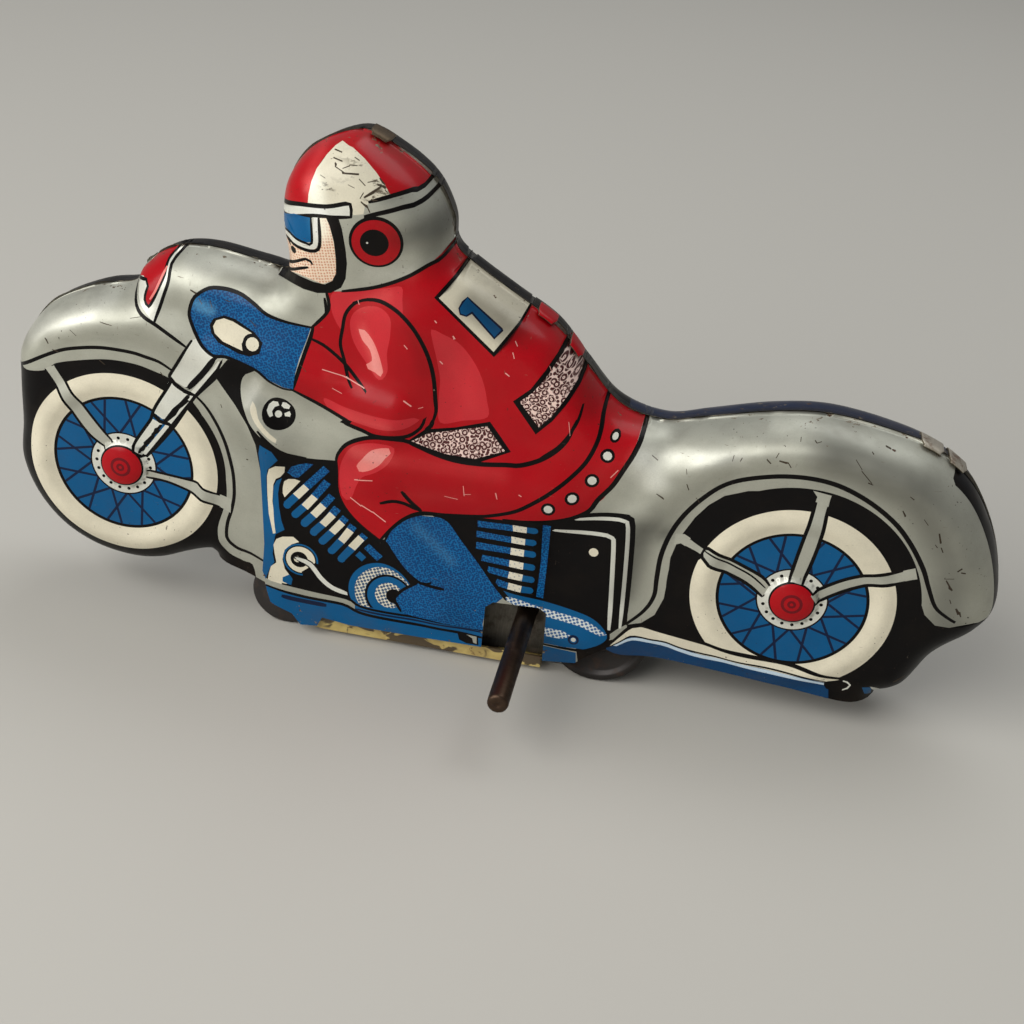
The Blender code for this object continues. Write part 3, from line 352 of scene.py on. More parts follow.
    ("leaf_ring_in", "disc", "blue", 0.5, [(14.3, 7)]),
    ("leaf_screw", "disc", "silver_light", 0.36, [(14.3, 7.1)]),
    ("rear_arch", "plain", "black", 0, [(21.5, 10.9), (23.4, 11.5), (25.1, 13.2), (26, 16.1), (26.1, 19.6),
        (26, 22.7), (26.7, 25.9), (28.4, 29.6), (29.9, 31.8), (31.8, 33.6), (34.8, 34.9), (39.3, 35.8),
        (43.6, 35.8), (46.6, 35.1), (49.8, 33.7), (53.1, 31.4), (55.7, 29), (57.5, 27.2), (58.8, 25.3),
        (59.9, 23), (61.1, 20.6), (62.8, 19.2), (64.7, 19.2), (68.5, 20.2), (72, 20.9), (68.6, 3.1),
        (54.1, -0.2), (41.8, 4.2), (29.9, 6.4), (22, 7.1)]),
    ("rear_arch_line", "line", "black", 0.34, [(21.3, 10.9), (23.5, 13.5), (24.6, 16.2), (24.6, 19.3),
        (24.7, 22.9), (25.5, 26.5), (26.9, 29.7), (29, 32.7), (31.5, 35.2), (34.9, 36.8), (39, 37.9),
        (43.2, 38.2), (46.9, 37.6), (50.7, 36.1), (54.4, 33.7), (57.1, 30.9), (59.4, 27.6), (60.7, 24.9),
        (62.2, 22.1), (64, 20.8), (65.3, 20.2)]),
    ("rear_wheel", "wheel", "black", 0, []),
    ("rear_stay_a_thin", "plain", "silver_mid", 0, [(26.2, 26.6), (27.4, 26.8), (30.5, 25.2), (30.2, 23.7),
        (27.1, 25.3), (26.2, 24.9)]),
    ("rear_stay_a", "plain", "silver_mid", 0, [(30.4, 24.7), (30.9, 25.3), (33.6, 24.3), (36, 23.4),
        (38.8, 22.2), (39.9, 20.9), (39.3, 19.2), (36.7, 20.9), (34, 21.9), (32.8, 22.2), (31.3, 22.8),
        (30.2, 23.5)]),
    ("rear_stay_a_t", "line", "black", 0.26, [(28.3, 26.3), (30.5, 25.2), (30.9, 25.3), (33.6, 24.3),
        (36, 23.4), (38.8, 22.2), (40, 21)]),
    ("rear_stay_a_b", "line", "black", 0.26, [(27.7, 24.9), (30.3, 23.7), (31.3, 22.8), (32.8, 22.2),
        (34, 21.9), (36.8, 20.8), (39.3, 19.1)]),
    ("rear_stay_a_m", "line", "black", 0.14, [(30.4, 24.8), (32.6, 24), (34.9, 23.1), (37.3, 22.1),
        (39.4, 20.6)]),
    ("rear_stay_a_c", "line", "black", 0.26, [(30.5, 25.4), (29.9, 23.5)]),
    ("rear_stay_b", "plain", "silver_mid", 0, [(43.1, 36.5), (45.6, 36.2), (45.5, 35.4), (45.4, 29.7),
        (44.9, 25.8), (44.2, 22.4), (42.4, 22.6), (42.8, 26.2), (43.2, 30.5), (43.8, 35.7)]),
    ("rear_stay_b_l", "line", "black", 0.26, [(43.8, 34.9), (43.3, 30.1), (42.8, 26.2), (42.4, 22.5)]),
    ("rear_stay_b_r", "line", "black", 0.26, [(45.5, 34.5), (45.4, 29.7), (44.9, 25.8), (44.2, 22.3)]),
    ("rear_stay_c", "plain", "silver_mid", 0, [(45.6, 21), (47.9, 22.8), (50.3, 24.2), (53.4, 25.6),
        (55.6, 26.1), (57.5, 27.1), (58.4, 27.5), (59, 25.9), (58.2, 25.6), (56.3, 24.7), (53.3, 24),
        (50.6, 22.7), (48.4, 21.3), (46.6, 19.7)]),
    ("rear_stay_c_t", "line", "black", 0.26, [(45.8, 21.1), (47.9, 22.8), (50.3, 24.3), (53.4, 25.6),
        (55.6, 26.2), (56.9, 26.8)]),
    ("rear_stay_c_b", "line", "black", 0.26, [(46.6, 19.7), (48.5, 21.2), (50.6, 22.6), (53.3, 23.9),
        (56.3, 24.6), (57.6, 25.2)]),
    ("pipe", "plain", "cream", 0, [(19.5, 7.3), (20.6, 8.7), (22, 10.3), (23.8, 10.9), (26.6, 10.5),
        (33.2, 9.7), (39.5, 9), (44.8, 8.8), (49.9, 8), (53.5, 7.9), (53.7, 6.8), (50.6, 6.2), (43, 6.4),
        (35.2, 6.6), (27.4, 7.2), (24.7, 7.2), (22.5, 6.2), (19.8, 6.3)]),
    ("pipe_blue", "plain", "pipe_blue", 0, [(19.1, 6.6), (19.9, 7), (20.9, 7.9), (22.2, 8.9), (23.6, 9.1),
        (25, 8.9), (27.2, 8.9), (29.4, 8.4), (32.3, 8), (35.2, 7.9), (40.9, 7.8), (45.1, 7.5), (50.6, 7),
        (51.2, 3.8), (19.1, -0.8)]),
    ("pipe_glint", "line", "pale_blue", 0.26, [(20.4, 7.2), (21.3, 7.9), (22.5, 8.6), (24.4, 8.7),
        (27.2, 8.6), (29.5, 8.1), (32.4, 7.7), (38.1, 7.6), (45.2, 7.2), (50.3, 6.7)]),
    ("pipe_seam", "line", "black", 0.13, [(19.6, 6.9), (20.9, 7.9), (22.2, 9), (23.6, 9.1), (25, 9),
        (27.2, 9), (29.4, 8.5), (32.3, 8.2), (35.2, 8.1), (40.8, 8), (45.1, 7.7), (50.2, 7.2)]),
    ("pipe_top", "line", "black", 0.3, [(19.5, 7.3), (20.6, 8.8), (22, 10.5), (23.4, 11.1), (26.5, 10.7),
        (33.2, 9.9), (39.4, 9.2), (44.8, 9), (49.8, 8.2), (53.5, 8.1)]),
    ("pipe_mouth", "area", "black", 0, [(50, 7.1), (51.3, 7.6), (53.1, 8.2), (54, 7.6), (53.7, 6.5),
        (52.1, 6.1), (50.5, 6)]),
    ("pipe_lip", "line", "silver_light", 0.13, [(52.5, 7.8), (53.1, 7.7), (53.6, 7.3), (53.3, 6.7),
        (52.7, 6.3)]),
    ("tail_blue", "plain", "blue", 0, [(55.3, 7.1), (56.7, 7.1), (56.9, 5.1), (55.9, 5.7)]),
    ("tail_white", "plain", "silver_light", 0, [(56.4, 7.3), (57.8, 6.7), (57.3, 5.5)]),
    ("tail_rub", "line", "scuff", 0.12, [(59.3, 8.6), (60.8, 9.7)]),
    ("suit", "plain", "red", 0, [(-23.8, 54.3), (-23.4, 51.6), (-25.4, 49), (-25.6, 47.7), (-26.3, 45.2),
        (-27.1, 41.9), (-27.8, 39.5), (-24.6, 38.2), (-19.5, 36.5), (-20.4, 36.3), (-17.7, 35.7),
        (-16, 35.2), (-18, 34.3), (-19.8, 32.9), (-21, 31), (-21.3, 28.4), (-21.1, 25.3), (-20.3, 22.9),
        (-18.7, 20.9), (-16.5, 19.4), (-14.5, 18.1), (-13, 20.6), (-11.3, 22.4), (-9.1, 23.5), (-5.6, 23.9),
        (-1.3, 24.5), (2.5, 25), (5.9, 25.4), (9.8, 26.4), (12.2, 27.3), (14.2, 28.6), (15.9, 30.6),
        (17.2, 33.3), (18.3, 36), (19.2, 38.9), (19.8, 42), (20.1, 43.7), (20.2, 45.9), (14.8, 51),
        (10.3, 57.6), (4.1, 60.5), (-3, 65.4), (-6.7, 63.1), (-10.7, 59.5), (-13.2, 57.9), (-15.6, 56.6),
        (-18.1, 55.5), (-21.7, 54.5)]),
    ("shoulder_light", "area", "red_soft", 0, [(-23, 54), (-20.6, 54.6), (-18.2, 55.3), (-15.8, 55.9),
        (-13.8, 56.4), (-13.5, 54.8), (-13.3, 52.5), (-14.8, 53.5), (-16.5, 54), (-18.7, 53.9),
        (-20.5, 52.6), (-21.3, 50.8), (-21.5, 49), (-22.9, 51.3)]),
    ("sleeve_light", "area", "red_soft", 0, [(-20.4, 50.6), (-19.2, 52.5), (-16.7, 53.2), (-14.9, 52.1),
        (-14.7, 49.7), (-15, 47.1), (-14.8, 44.5), (-15.9, 43.1), (-17.8, 44.9), (-19.8, 47.6)]),
    ("sleeve_glint", "area", "pink", 0, [(-19.2, 49.6), (-18.4, 49.6), (-17.2, 48.5), (-16.2, 46.7),
        (-15.4, 44.3), (-15.7, 43.6), (-16.6, 44), (-17.6, 44.2), (-17.9, 44.8), (-17.1, 45.5), (-17.5, 47),
        (-18.6, 48.1)]),
    ("body_light", "area", "red_soft", 0, [(-9.3, 51.5), (-7.9, 51), (-5.9, 50), (-4.3, 48.5), (-2.9, 46.6),
        (-1.9, 44.5), (-1.3, 42.3), (-1, 39.8), (-4.1, 38.8), (-7.2, 38.2), (-7.7, 41.5), (-7.7, 44.4),
        (-8.3, 47.3), (-8.9, 49.5)]),
    ("knee_light", "area", "red_soft", 0, [(-20.5, 29.9), (-19, 32.8), (-16.5, 33.9), (-13.6, 34),
        (-13, 33.2), (-13.9, 31), (-15.5, 29.4), (-17.4, 28.2), (-18.3, 26.4), (-19.2, 23.8), (-20.4, 24.1),
        (-20.9, 26.9)]),
    ("knee_glint", "area", "pink", 0, [(-17.6, 31), (-16.1, 32.9), (-13.8, 33.6), (-13.5, 32.9),
        (-14.2, 32), (-15.1, 30.6), (-16.6, 29.4), (-17.9, 29), (-18.3, 29.8)]),
    ("elbow_light", "area", "red_soft", 0, [(-23.3, 39.2), (-20.3, 38.6), (-16.8, 38.3), (-12.9, 38.4),
        (-10.6, 38.8), (-9.9, 38.5), (-11.8, 37.1), (-15.1, 36.4), (-18.5, 36.7), (-22.1, 37.3)]),
    ("crown_glint", "area", "pink", 0, [(-27.3, 68.2), (-27.1, 69.8), (-26.4, 71.3), (-25.3, 72.4),
        (-25.3, 71.7), (-26, 70.4), (-26.3, 68.7), (-26.4, 67.2), (-27, 66.8)]),
    ("suit_hem", "line", "black", 0.34, [(20, 43.5), (19.7, 39.6), (19.2, 37.9), (18.1, 35.5), (16.8, 32.6),
        (15.1, 30.2), (14.2, 28.5), (12.2, 27.2), (9.8, 26.4), (5.9, 25.4), (2.5, 25)]),
    ("thigh_low", "line", "black", 0.3, [(-14.6, 18.1), (-13, 20.6), (-11.3, 22.4), (-9.1, 23.5),
        (-5.6, 23.9), (-1.3, 24.7), (1, 25.4), (4.1, 26.9), (6.5, 28.8), (8.8, 30.8), (11, 33),
        (12.8, 35.4), (13.9, 38.3), (14.2, 40.2), (14.1, 42.3), (14.5, 45.5), (14.3, 46.7)]),
    ("thigh_top", "line", "black", 0.32, [(-21.3, 29.7), (-21.1, 30.9), (-19.9, 32.9), (-18, 34.2),
        (-15.4, 35), (-11.8, 35.2), (-10.4, 34.7), (-7.5, 33.8), (-4.6, 33.3), (-1.3, 33.3), (2.3, 33.7),
        (4.2, 33.9), (6.8, 35), (8.8, 36.6), (10, 38.3), (10.6, 40.2), (11, 41.3)]),
    ("knee_line", "line", "black", 0.34, [(-21.3, 29.7), (-21.3, 25.3), (-20.4, 22.8), (-18.8, 20.8),
        (-16.7, 19.2), (-14.5, 18.1)]),
    ("knee_fold_a", "line", "black", 0.3, [(-11.9, 26.8), (-10.6, 25.2), (-9, 23.8)]),
    ("knee_fold_b", "line", "black", 0.26, [(-14.8, 24.4), (-13.1, 25), (-11.4, 24.8), (-9.7, 24)]),
    ("belt_patch_edge", "plain", "black", 0, [(-11.5, 35), (-9.1, 37.1), (-5.2, 37.7), (-0.6, 39.2),
        (1, 37.4), (2.7, 35.5), (-1.8, 33.3), (-6.1, 33.6), (-8.9, 34.2)]),
    ("belt_patch", "plain", "leopard", 0, [(-10.8, 35.2), (-8.6, 36.6), (-5.2, 37.3), (-0.9, 38.5),
        (0.4, 37), (1.9, 35.5), (-2, 33.9), (-6.1, 34), (-9, 34.6)]),
    ("back_patch_edge", "plain", "black", 0, [(2.2, 42.7), (4.4, 44.9), (6, 47.6), (7.1, 49.4), (9.7, 52.6),
        (11.7, 49.6), (10.6, 45.5), (9.5, 43.6), (7.7, 40.7), (5.7, 38.4)]),
    ("back_patch", "plain", "leopard", 0, [(3.1, 42.8), (4.7, 44.4), (6.1, 46.5), (7.1, 48.3), (7.7, 49.1),
        (9.7, 51.7), (11.1, 49.4), (10.1, 45.9), (9.1, 44.1), (7.6, 41.5), (6, 39.5)]),
    ("jacket_fold", "line", "black", 0.2, [(6.8, 35.3), (8.8, 37), (10.2, 39.2), (11.1, 41.3),
        (11.4, 43.2)]),
    ("stud0_ring", "disc", "black", 0.72, [(16.2, 39.3)]),
    ("stud0", "disc", "silver_light", 0.4, [(16.2, 39.3)]),
    ("stud1_ring", "disc", "black", 1, [(15.6, 36.9)]),
    ("stud1", "disc", "silver_light", 0.62, [(15.6, 36.9)]),
    ("stud2_ring", "disc", "black", 1, [(14, 33)]),
    ("stud2", "disc", "silver_light", 0.62, [(14, 33)]),
    ("stud3_ring", "disc", "black", 1, [(11.7, 30.2)]),
    ("stud3", "disc", "silver_light", 0.62, [(11.7, 30.2)]),
    ("stud4_ring", "disc", "black", 1, [(8.7, 28.3)]),
    ("stud4", "disc", "silver_light", 0.62, [(8.7, 28.3)]),
    ("forearm_low", "line", "black", 0.3, [(-27.8, 39.5), (-24.6, 38.2), (-19.5, 36.5), (-20.4, 36.3),
        (-17.7, 35.7), (-16, 35.2), (-13.7, 35.4), (-11.2, 36), (-9.7, 37.3), (-9.3, 38.5)]),
    ("arm_back", "line", "black", 0.28, [(-20.1, 53.1), (-18.8, 53.7), (-17.5, 54), (-15.9, 53.9),
        (-13.7, 53), (-11.7, 51.4), (-10.3, 49.4), (-9.2, 47), (-8.5, 44.4), (-8.1, 41.4), (-7.9, 39.7),
        (-8.3, 37.9)]),
    ("arm_front", "line", "black", 0.24, [(-18.8, 53.7), (-20.1, 52.9), (-21.1, 51.3), (-21.4, 49.2),
        (-21.6, 47), (-21, 44.9), (-20.1, 42.3), (-19.5, 41.3)]),
    ("elbow_fold", "line", "black", 0.24, [(-25.7, 47.1), (-24, 46.5), (-22.4, 45.5), (-20.8, 44.3),
        (-18.9, 42.5), (-17.5, 41.2)]),
    ("collar", "line", "black", 0.24, [(-23.8, 54.1), (-23.4, 51.6), (-25.4, 48.9)]),
    ("cuff", "line", "black", 0.28, [(-25.4, 49), (-25.6, 47.7), (-26.3, 45.2), (-27.1, 41.9),
        (-27.8, 39.5)]),
    ("waist", "line", "black", 0.3, [(-8.2, 38.5), (-8.4, 37.6), (-9.1, 37)]),
    ("plate_edge", "plain", "black", 0, [(-4.7, 61.5), (4.4, 56.5), (-0.9, 48.6), (-9.4, 55.6)]),
    ("plate", "plain", "plate", 0, [(-4.4, 61), (3.9, 56.2), (-1, 49.3), (-8.8, 55.6)]),
    ("digit_edge", "plain", "navy", 0, [(-5.3, 55.8), (-5.9, 55.3), (-6.2, 54.5), (-5.9, 53.7), (-5, 53.5),
        (-4.4, 53.9), (-1.1, 51), (-0.1, 52.1), (-0.3, 52.4), (-4.7, 55.4)]),
    ("digit", "plain", "blue", 0, [(-5.3, 55.7), (-5.7, 55.1), (-6, 54.5), (-5.8, 53.9), (-5.1, 53.7),
        (-4.4, 54.2), (-1.1, 51.3), (-0.4, 52.2), (-4.7, 55.2)]),
    ("glove", "plain", "stipple_blue", 0, [(-40.7, 51.2), (-39.6, 51.5), (-37.6, 51.6), (-35.6, 51.2),
        (-33.7, 50.3), (-31.9, 49.3), (-29.1, 48.9), (-25.7, 48.7), (-26.2, 46.9), (-27, 44.2), (-27.4, 42),
        (-27.7, 39.6), (-29.1, 39.6), (-31.1, 40.3), (-32.8, 41.6), (-34.9, 42.3), (-37.3, 42.8),
        (-38.2, 42.6), (-39, 42.6), (-40.5, 43.5), (-41.5, 45), (-42.3, 46.2), (-42.6, 47.5), (-42.5, 48.9),
        (-41.9, 50.2)]),
    ("glove_edge", "line", "black", 0.24, [(-25.7, 48.7), (-29.1, 48.9), (-31.9, 49.4), (-33.7, 50.4),
        (-35.6, 51.3), (-37.6, 51.7), (-39.6, 51.7), (-40.7, 51.3), (-42, 50.2), (-42.6, 48.9),
        (-42.8, 47.4), (-42.3, 46.1), (-41.6, 44.8), (-40.6, 43.4), (-39, 42.5), (-37.3, 42.7),
        (-34.9, 42.1), (-32.8, 41.4), (-31.1, 40.1), (-29.1, 39.4), (-27.7, 39.5)]),
    ("grip_edge", "plain", "black", 0, [(-39.4, 47.5), (-37.9, 48.2), (-36.3, 48), (-33.5, 46.7),
        (-32.2, 45.5), (-32.5, 44), (-33.9, 43.4), (-35.4, 43.5), (-38.5, 44.4), (-39.6, 45.4),
        (-39.9, 46.5)]),
    ("grip", "plain", "cream", 0, [(-39, 47.3), (-37.9, 47.8), (-36.6, 47.6), (-33.8, 46.5), (-34.7, 45.9),
        (-35.1, 44.9), (-34.9, 44), (-37.8, 44.7), (-39.1, 45.5), (-39.4, 46.4)]),
    ("grip_end_ring", "disc", "black", 1.28, [(-33.7, 45.2)]),
    ("grip_end", "disc", "cream", 0.92, [(-33.6, 45.1)]),
    ("cap", "disc", "black", 2.3, [(-29.7, 35.4)]),
    ("cap_left", "area", "silver_light", 0, [(-31.4, 35.7), (-31.2, 36.5), (-30.7, 37), (-30, 37),
        (-29.8, 36.5), (-30.4, 36.2), (-30.7, 35.6), (-30.5, 35), (-30.9, 34.8), (-31.2, 35.2)]),
    ("cap_top", "area", "silver_light", 0, [(-29.3, 37.1), (-28.8, 37.1), (-28.2, 36.7), (-28.4, 36.2),
        (-29.1, 36.2), (-29.5, 36.5)]),
    ("cap_right", "area", "silver_light", 0, [(-29, 35.5), (-28.3, 35.9), (-28.1, 35.5), (-28.2, 35.1),
        (-28.9, 35.1)]),
    ("cap_middle", "disc", "silver_light", 0.5, [(-29.8, 35.3)]),
    ("cap_dot", "disc", "silver_light", 0.3, [(-29.8, 35.4)]),
    ("helmet", "plain", "silver", 0, [(-31.8, 64.8), (-30.8, 69.1), (-27.2, 74.4), (-21.2, 77.6),
        (-15.8, 77.3), (-10.3, 74.2), (-6.5, 69.8), (-5.6, 63.8), (-6.7, 63), (-10.7, 59.5), (-13.2, 57.8),
        (-15.6, 56.5), (-18.1, 55.5), (-21.7, 54.5), (-23.8, 54.1), (-26.4, 59.3)]),
    ("crown", "plain", "red", 0, [(-32, 63.8), (-31.3, 69.3), (-27.2, 75), (-21.2, 77.9), (-15.9, 77.7),
        (-9.6, 74.3), (-8.1, 71.6), (-10.1, 71.1), (-12.5, 68.9), (-13.6, 68.8), (-15.8, 68.4), (-18, 67.6),
        (-19.9, 66.8), (-26.5, 65.7), (-30.2, 64.6)]),
    ("crown_panel", "plain", "cream_worn", 0, [(-26.5, 65.6), (-26.5, 67), (-26.3, 68.6), (-25.9, 70.1),
        (-25, 71.7), (-24.2, 72.7), (-23.5, 73.2), (-21.7, 73), (-19.9, 72.1), (-18.2, 70.8), (-17, 69.7),
        (-15.9, 68.4), (-18, 67.6), (-18.9, 66.8), (-19, 65.8), (-20.3, 65.5), (-20.9, 66.7)]),
    ("helmet_band_t", "line", "black", 0.26, [(-18.5, 67.4), (-15.8, 68.3), (-13.6, 68.8), (-12.5, 68.9),
        (-9.7, 71.4)]),
    ("helmet_band_b", "line", "black", 0.3, [(-18.9, 65.5), (-16.5, 66.3), (-14.3, 67), (-12.3, 67.5),
        (-8.6, 69.9)]),
    ("helmet_low", "line", "black", 0.26, [(-6.6, 63.1), (-9.1, 60.3), (-10.7, 59.5), (-13.2, 57.8),
        (-15.6, 56.5), (-18.1, 55.5), (-21.7, 54.5)]),
    ("goggle_strap", "plain", "silver_light", 0, [(-31.8, 63.5), (-27.7, 65.3), (-23.9, 66), (-20.9, 66.8),
        (-20.7, 65.2), (-22.8, 64.9), (-26.5, 64.3), (-31.8, 62.4)]),
    ("goggle_strap_t", "line", "black", 0.28, [(-31.8, 63.9), (-30.2, 64.7), (-27.7, 65.5), (-23.9, 66),
        (-21.4, 66.8), (-20.8, 66.8), (-20.6, 66.1), (-20.6, 65.2)]),
    ("goggle_strap_b", "line", "black", 0.24, [(-31.8, 62.5), (-26.5, 64.3), (-22.8, 64.8), (-20.5, 65.2)]),
    ("skin", "plain", "skin", 0, [(-31.6, 59.9), (-30.1, 60.4), (-27.9, 59.8), (-24.9, 60.1), (-24.9, 64.3),
        (-23.8, 64.5), (-23.3, 63.4), (-22.7, 61.1), (-22.5, 58.7), (-22.5, 57), (-23, 55.8), (-24.3, 55.1),
        (-25.9, 55.5), (-27.9, 55.7), (-30.4, 55), (-31.4, 55.5)]),
    ("goggle_lens", "plain", "blue", 0, [(-31.8, 62.3), (-28.5, 64), (-26.1, 64.1), (-25.9, 60.8),
        (-26.7, 60.6), (-28.2, 60.8), (-29.6, 61.2), (-31.8, 61.3)]),
    ("goggle_frame", "line", "silver_light", 0.42, [(-31.7, 60.4), (-29.6, 60.7), (-27.9, 60.2),
        (-25.5, 60.4), (-25.3, 64.1)]),
    ("goggle_inner", "line", "black", 0.18, [(-26, 64.1), (-25.8, 60.7), (-26.7, 60.5), (-28.2, 60.7),
        (-29.7, 61.1), (-31.4, 60.4)]),
    ("goggle_edge", "line", "black", 0.24, [(-31.3, 59.4), (-29.7, 60), (-28, 59.6), (-24.9, 60),
        (-24.9, 64.3)]),
    ("eye", "disc", "black", 0.52, [(-28.7, 58.8)]),
    ("brow", "line", "black", 0.2, [(-29.9, 59.8), (-29.2, 59.3)]),
    ("mouth_a", "line", "black", 0.2, [(-30.3, 55.9), (-26.7, 58.2), (-25.7, 57.6)]),
    ("mouth_b", "line", "black", 0.2, [(-31.2, 54.4), (-27.9, 56.4), (-26.3, 57.1)]),
    ("chin_strap", "plain", "black", 0, [(-24, 64.7), (-22.3, 65), (-21.7, 63.4), (-21.2, 60.8),
        (-21, 58.7), (-21.2, 56.4), (-21.8, 55), (-23.2, 54), (-25, 53.7), (-26.9, 53.9), (-29, 54),
        (-32, 53.2), (-33.1, 55.1), (-33.8, 56.1), (-33.5, 57.7), (-32, 56.7), (-30.4, 55), (-27.6, 55.5),
        (-25.6, 55.2), (-24, 55.1), (-23, 55.8), (-22.5, 57), (-22.5, 59.2), (-22.8, 61.6), (-23.4, 63.6)]),
    ("ear_edge", "disc", "black", 3.5, [(-17.3, 62.2)]),
    ("ear_red", "disc", "red", 3.12, [(-17.3, 62.1)]),
    ("ear_core", "disc", "black", 1.85, [(-17.5, 62.1)]),
    ("ear_dot", "disc", "silver_light", 0.14, [(-18.4, 62)]),
]
# short scratches by paint: from x, z, to x, z, half width
SCRATCHES = {
    "pale_scratch": [
        (-12.2, 41.1, -11.1, 40.4, 0.14), (-10.2, 40.1, -9.6, 40.3, 0.07), (-9, 52.7, -8.7, 52.4, 0.11),
        (-6.5, 50.8, -6.2, 50.4, 0.12), (-7.9, 47.1, -7.5, 46.7, 0.13), (1.6, 51, 2, 50.4, 0.09),
        (1.5, 49.6, 1.8, 48.8, 0.09), (-3.2, 29.7, -3, 28, 0.08), (-3, 28.3, -2.1, 28.5, 0.06),
        (-5.8, 27.3, -3.9, 27.2, 0.07), (1.3, 29.5, 1.6, 28.5, 0.09), (4.5, 29.8, 4.9, 29.6, 0.11),
        (9.9, 41, 10.3, 39, 0.05), (-12.7, 48.9, -12.2, 48.4, 0.1), (0.8, 46.6, 1.4, 46.2, 0.13),
        (-23.8, 43.2, -20.8, 42.7, 0.1), (-20.8, 42.7, -17.8, 41.6, 0.12), (-19.5, 53.6, -19.3, 53, 0.08),
        (-18.6, 27.4, -15.9, 28, 0.1), (-19.2, 24.2, -17.5, 23.2, 0.13), (-17.5, 23.4, -15.8, 22.7, 0.13),
        (-15.8, 22.8, -13.8, 21.6, 0.13), (16.4, 33.8, 17.3, 35.1, 0.1), (6.4, 48.1, 6.8, 47.4, 0.05),
        (-22.2, 40.9, -20.8, 40.4, 0.06),
    ],
    "scuff": [
        (-24.1, 72.4, -22.9, 72.4, 0.0992), (-23.9, 71.7, -22.5, 71.6, 0.1116),
        (-22.2, 70.4, -20.1, 70.5, 0.1612), (-23.5, 71.3, -23.2, 71, 0.1116),
        (-21.5, 71.4, -20.5, 71.4, 0.0744), (-22.3, 70.9, -21.4, 71.3, 0.0744),
        (-19.1, 67.9, -17.6, 69, 0.186), (-18.4, 68.5, -17.1, 69.4, 0.1488),
        (-17.7, 69.5, -16.6, 69.2, 0.1364), (-19.4, 67.3, -18.5, 66.7, 0.1612),
        (-18.7, 67, -18.2, 66.1, 0.124), (-17.6, 70.2, -16.8, 69.5, 0.0992),
        (-25.2, 69.6, -24.4, 69.4, 0.062), (-20, 70, -19.1, 69.3, 0.0868),
        (-21.3, 69.2, -20.4, 68.9, 0.062), (-18.9, 69.7, -17.9, 69.9, 0.0868),
        (-16.7, 69, -16.3, 68.6, 0.0744), (-18.2, 67.8, -17.4, 67.7, 0.0992),
        (-19.6, 67.7, -19.2, 68.5, 0.0992), (-23.4, 70.9, -21.9, 70.5, 0.0558),
        (-21.1, 72.2, -20.4, 71.9, 0.0744), (47.7, 41.9, 48.7, 40.8, 0.072),
        (48.7, 40.6, 50.3, 39.1, 0.104), (38, 40.2, 39.2, 40.1, 0.16), (39.2, 40.1, 39.7, 39.4, 0.112),
        (36.4, 40.1, 37, 39.6, 0.144), (37.5, 40.5, 37.8, 41.2, 0.08), (32, 39, 32.1, 39.8, 0.08),
        (33, 39.1, 33.2, 39.7, 0.08), (40.3, 43.2, 40.3, 42.8, 0.08), (42.1, 43.2, 42.4, 43, 0.096),
        (42.4, 43, 43, 43.2, 0.056), (55, 35.8, 55.5, 34.9, 0.128), (49.8, 39.1, 50.5, 38.9, 0.112),
        (60.2, 33.6, 60.7, 32.1, 0.16), (60.9, 31.5, 61.3, 30.8, 0.128), (63.7, 28.4, 64.2, 29.1, 0.16),
        (64.2, 28.4, 64.8, 28.4, 0.176), (62.7, 26.5, 63.4, 25.6, 0.16), (63.3, 25.4, 63.8, 25.1, 0.192),
        (62.4, 26.7, 63.6, 27.1, 0.08), (64.9, 22.4, 65.4, 21.5, 0.208), (65.5, 22, 65.8, 21.2, 0.128),
        (51.4, 43.2, 52.1, 43, 0.096), (22.8, 32.6, 23.9, 32, 0.112), (21.4, 37.5, 22.3, 37, 0.096),
        (26.6, 34.7, 27, 33.8, 0.112), (26.2, 36.8, 26.4, 36.1, 0.064), (55.4, 38.3, 56, 37.9, 0.08),
        (57.9, 35.2, 58.6, 34.4, 0.08), (60.1, 31.7, 60.5, 31.3, 0.08), (63.8, 23.6, 64.1, 23, 0.096),
        (49.6, 42.8, 49.9, 42.6, 0.08), (28.1, 32.7, 28.7, 31.9, 0.064), (-63.7, 40.6, -63.2, 39.8, 0.128),
        (-62.7, 39, -61.8, 38.8, 0.096), (-42.7, 51, -41.8, 50.6, 0.144), (-41.5, 50.1, -41, 49.3, 0.096),
        (-39.9, 50.1, -39.6, 49, 0.08), (-34.5, 27.1, -34.2, 27.1, 0.144), (-38.2, 35.1, -38, 34.6, 0.096),
        (-55.8, 38.6, -55.1, 38.1, 0.096), (-37.8, 50.4, -37.1, 50.2, 0.096),
        (-47, 38.3, -46.6, 37.8, 0.08), (-55.4, 44.5, -53.6, 44.3, 0.064),
        (-59.8, 42.6, -58.9, 41.8, 0.072), (-51, 45.8, -49.2, 46.4, 0.056),
        (-26.8, 43.4, -25.9, 42.6, 0.064), (-34.2, 48.2, -33.3, 47.4, 0.064),
    ],
}

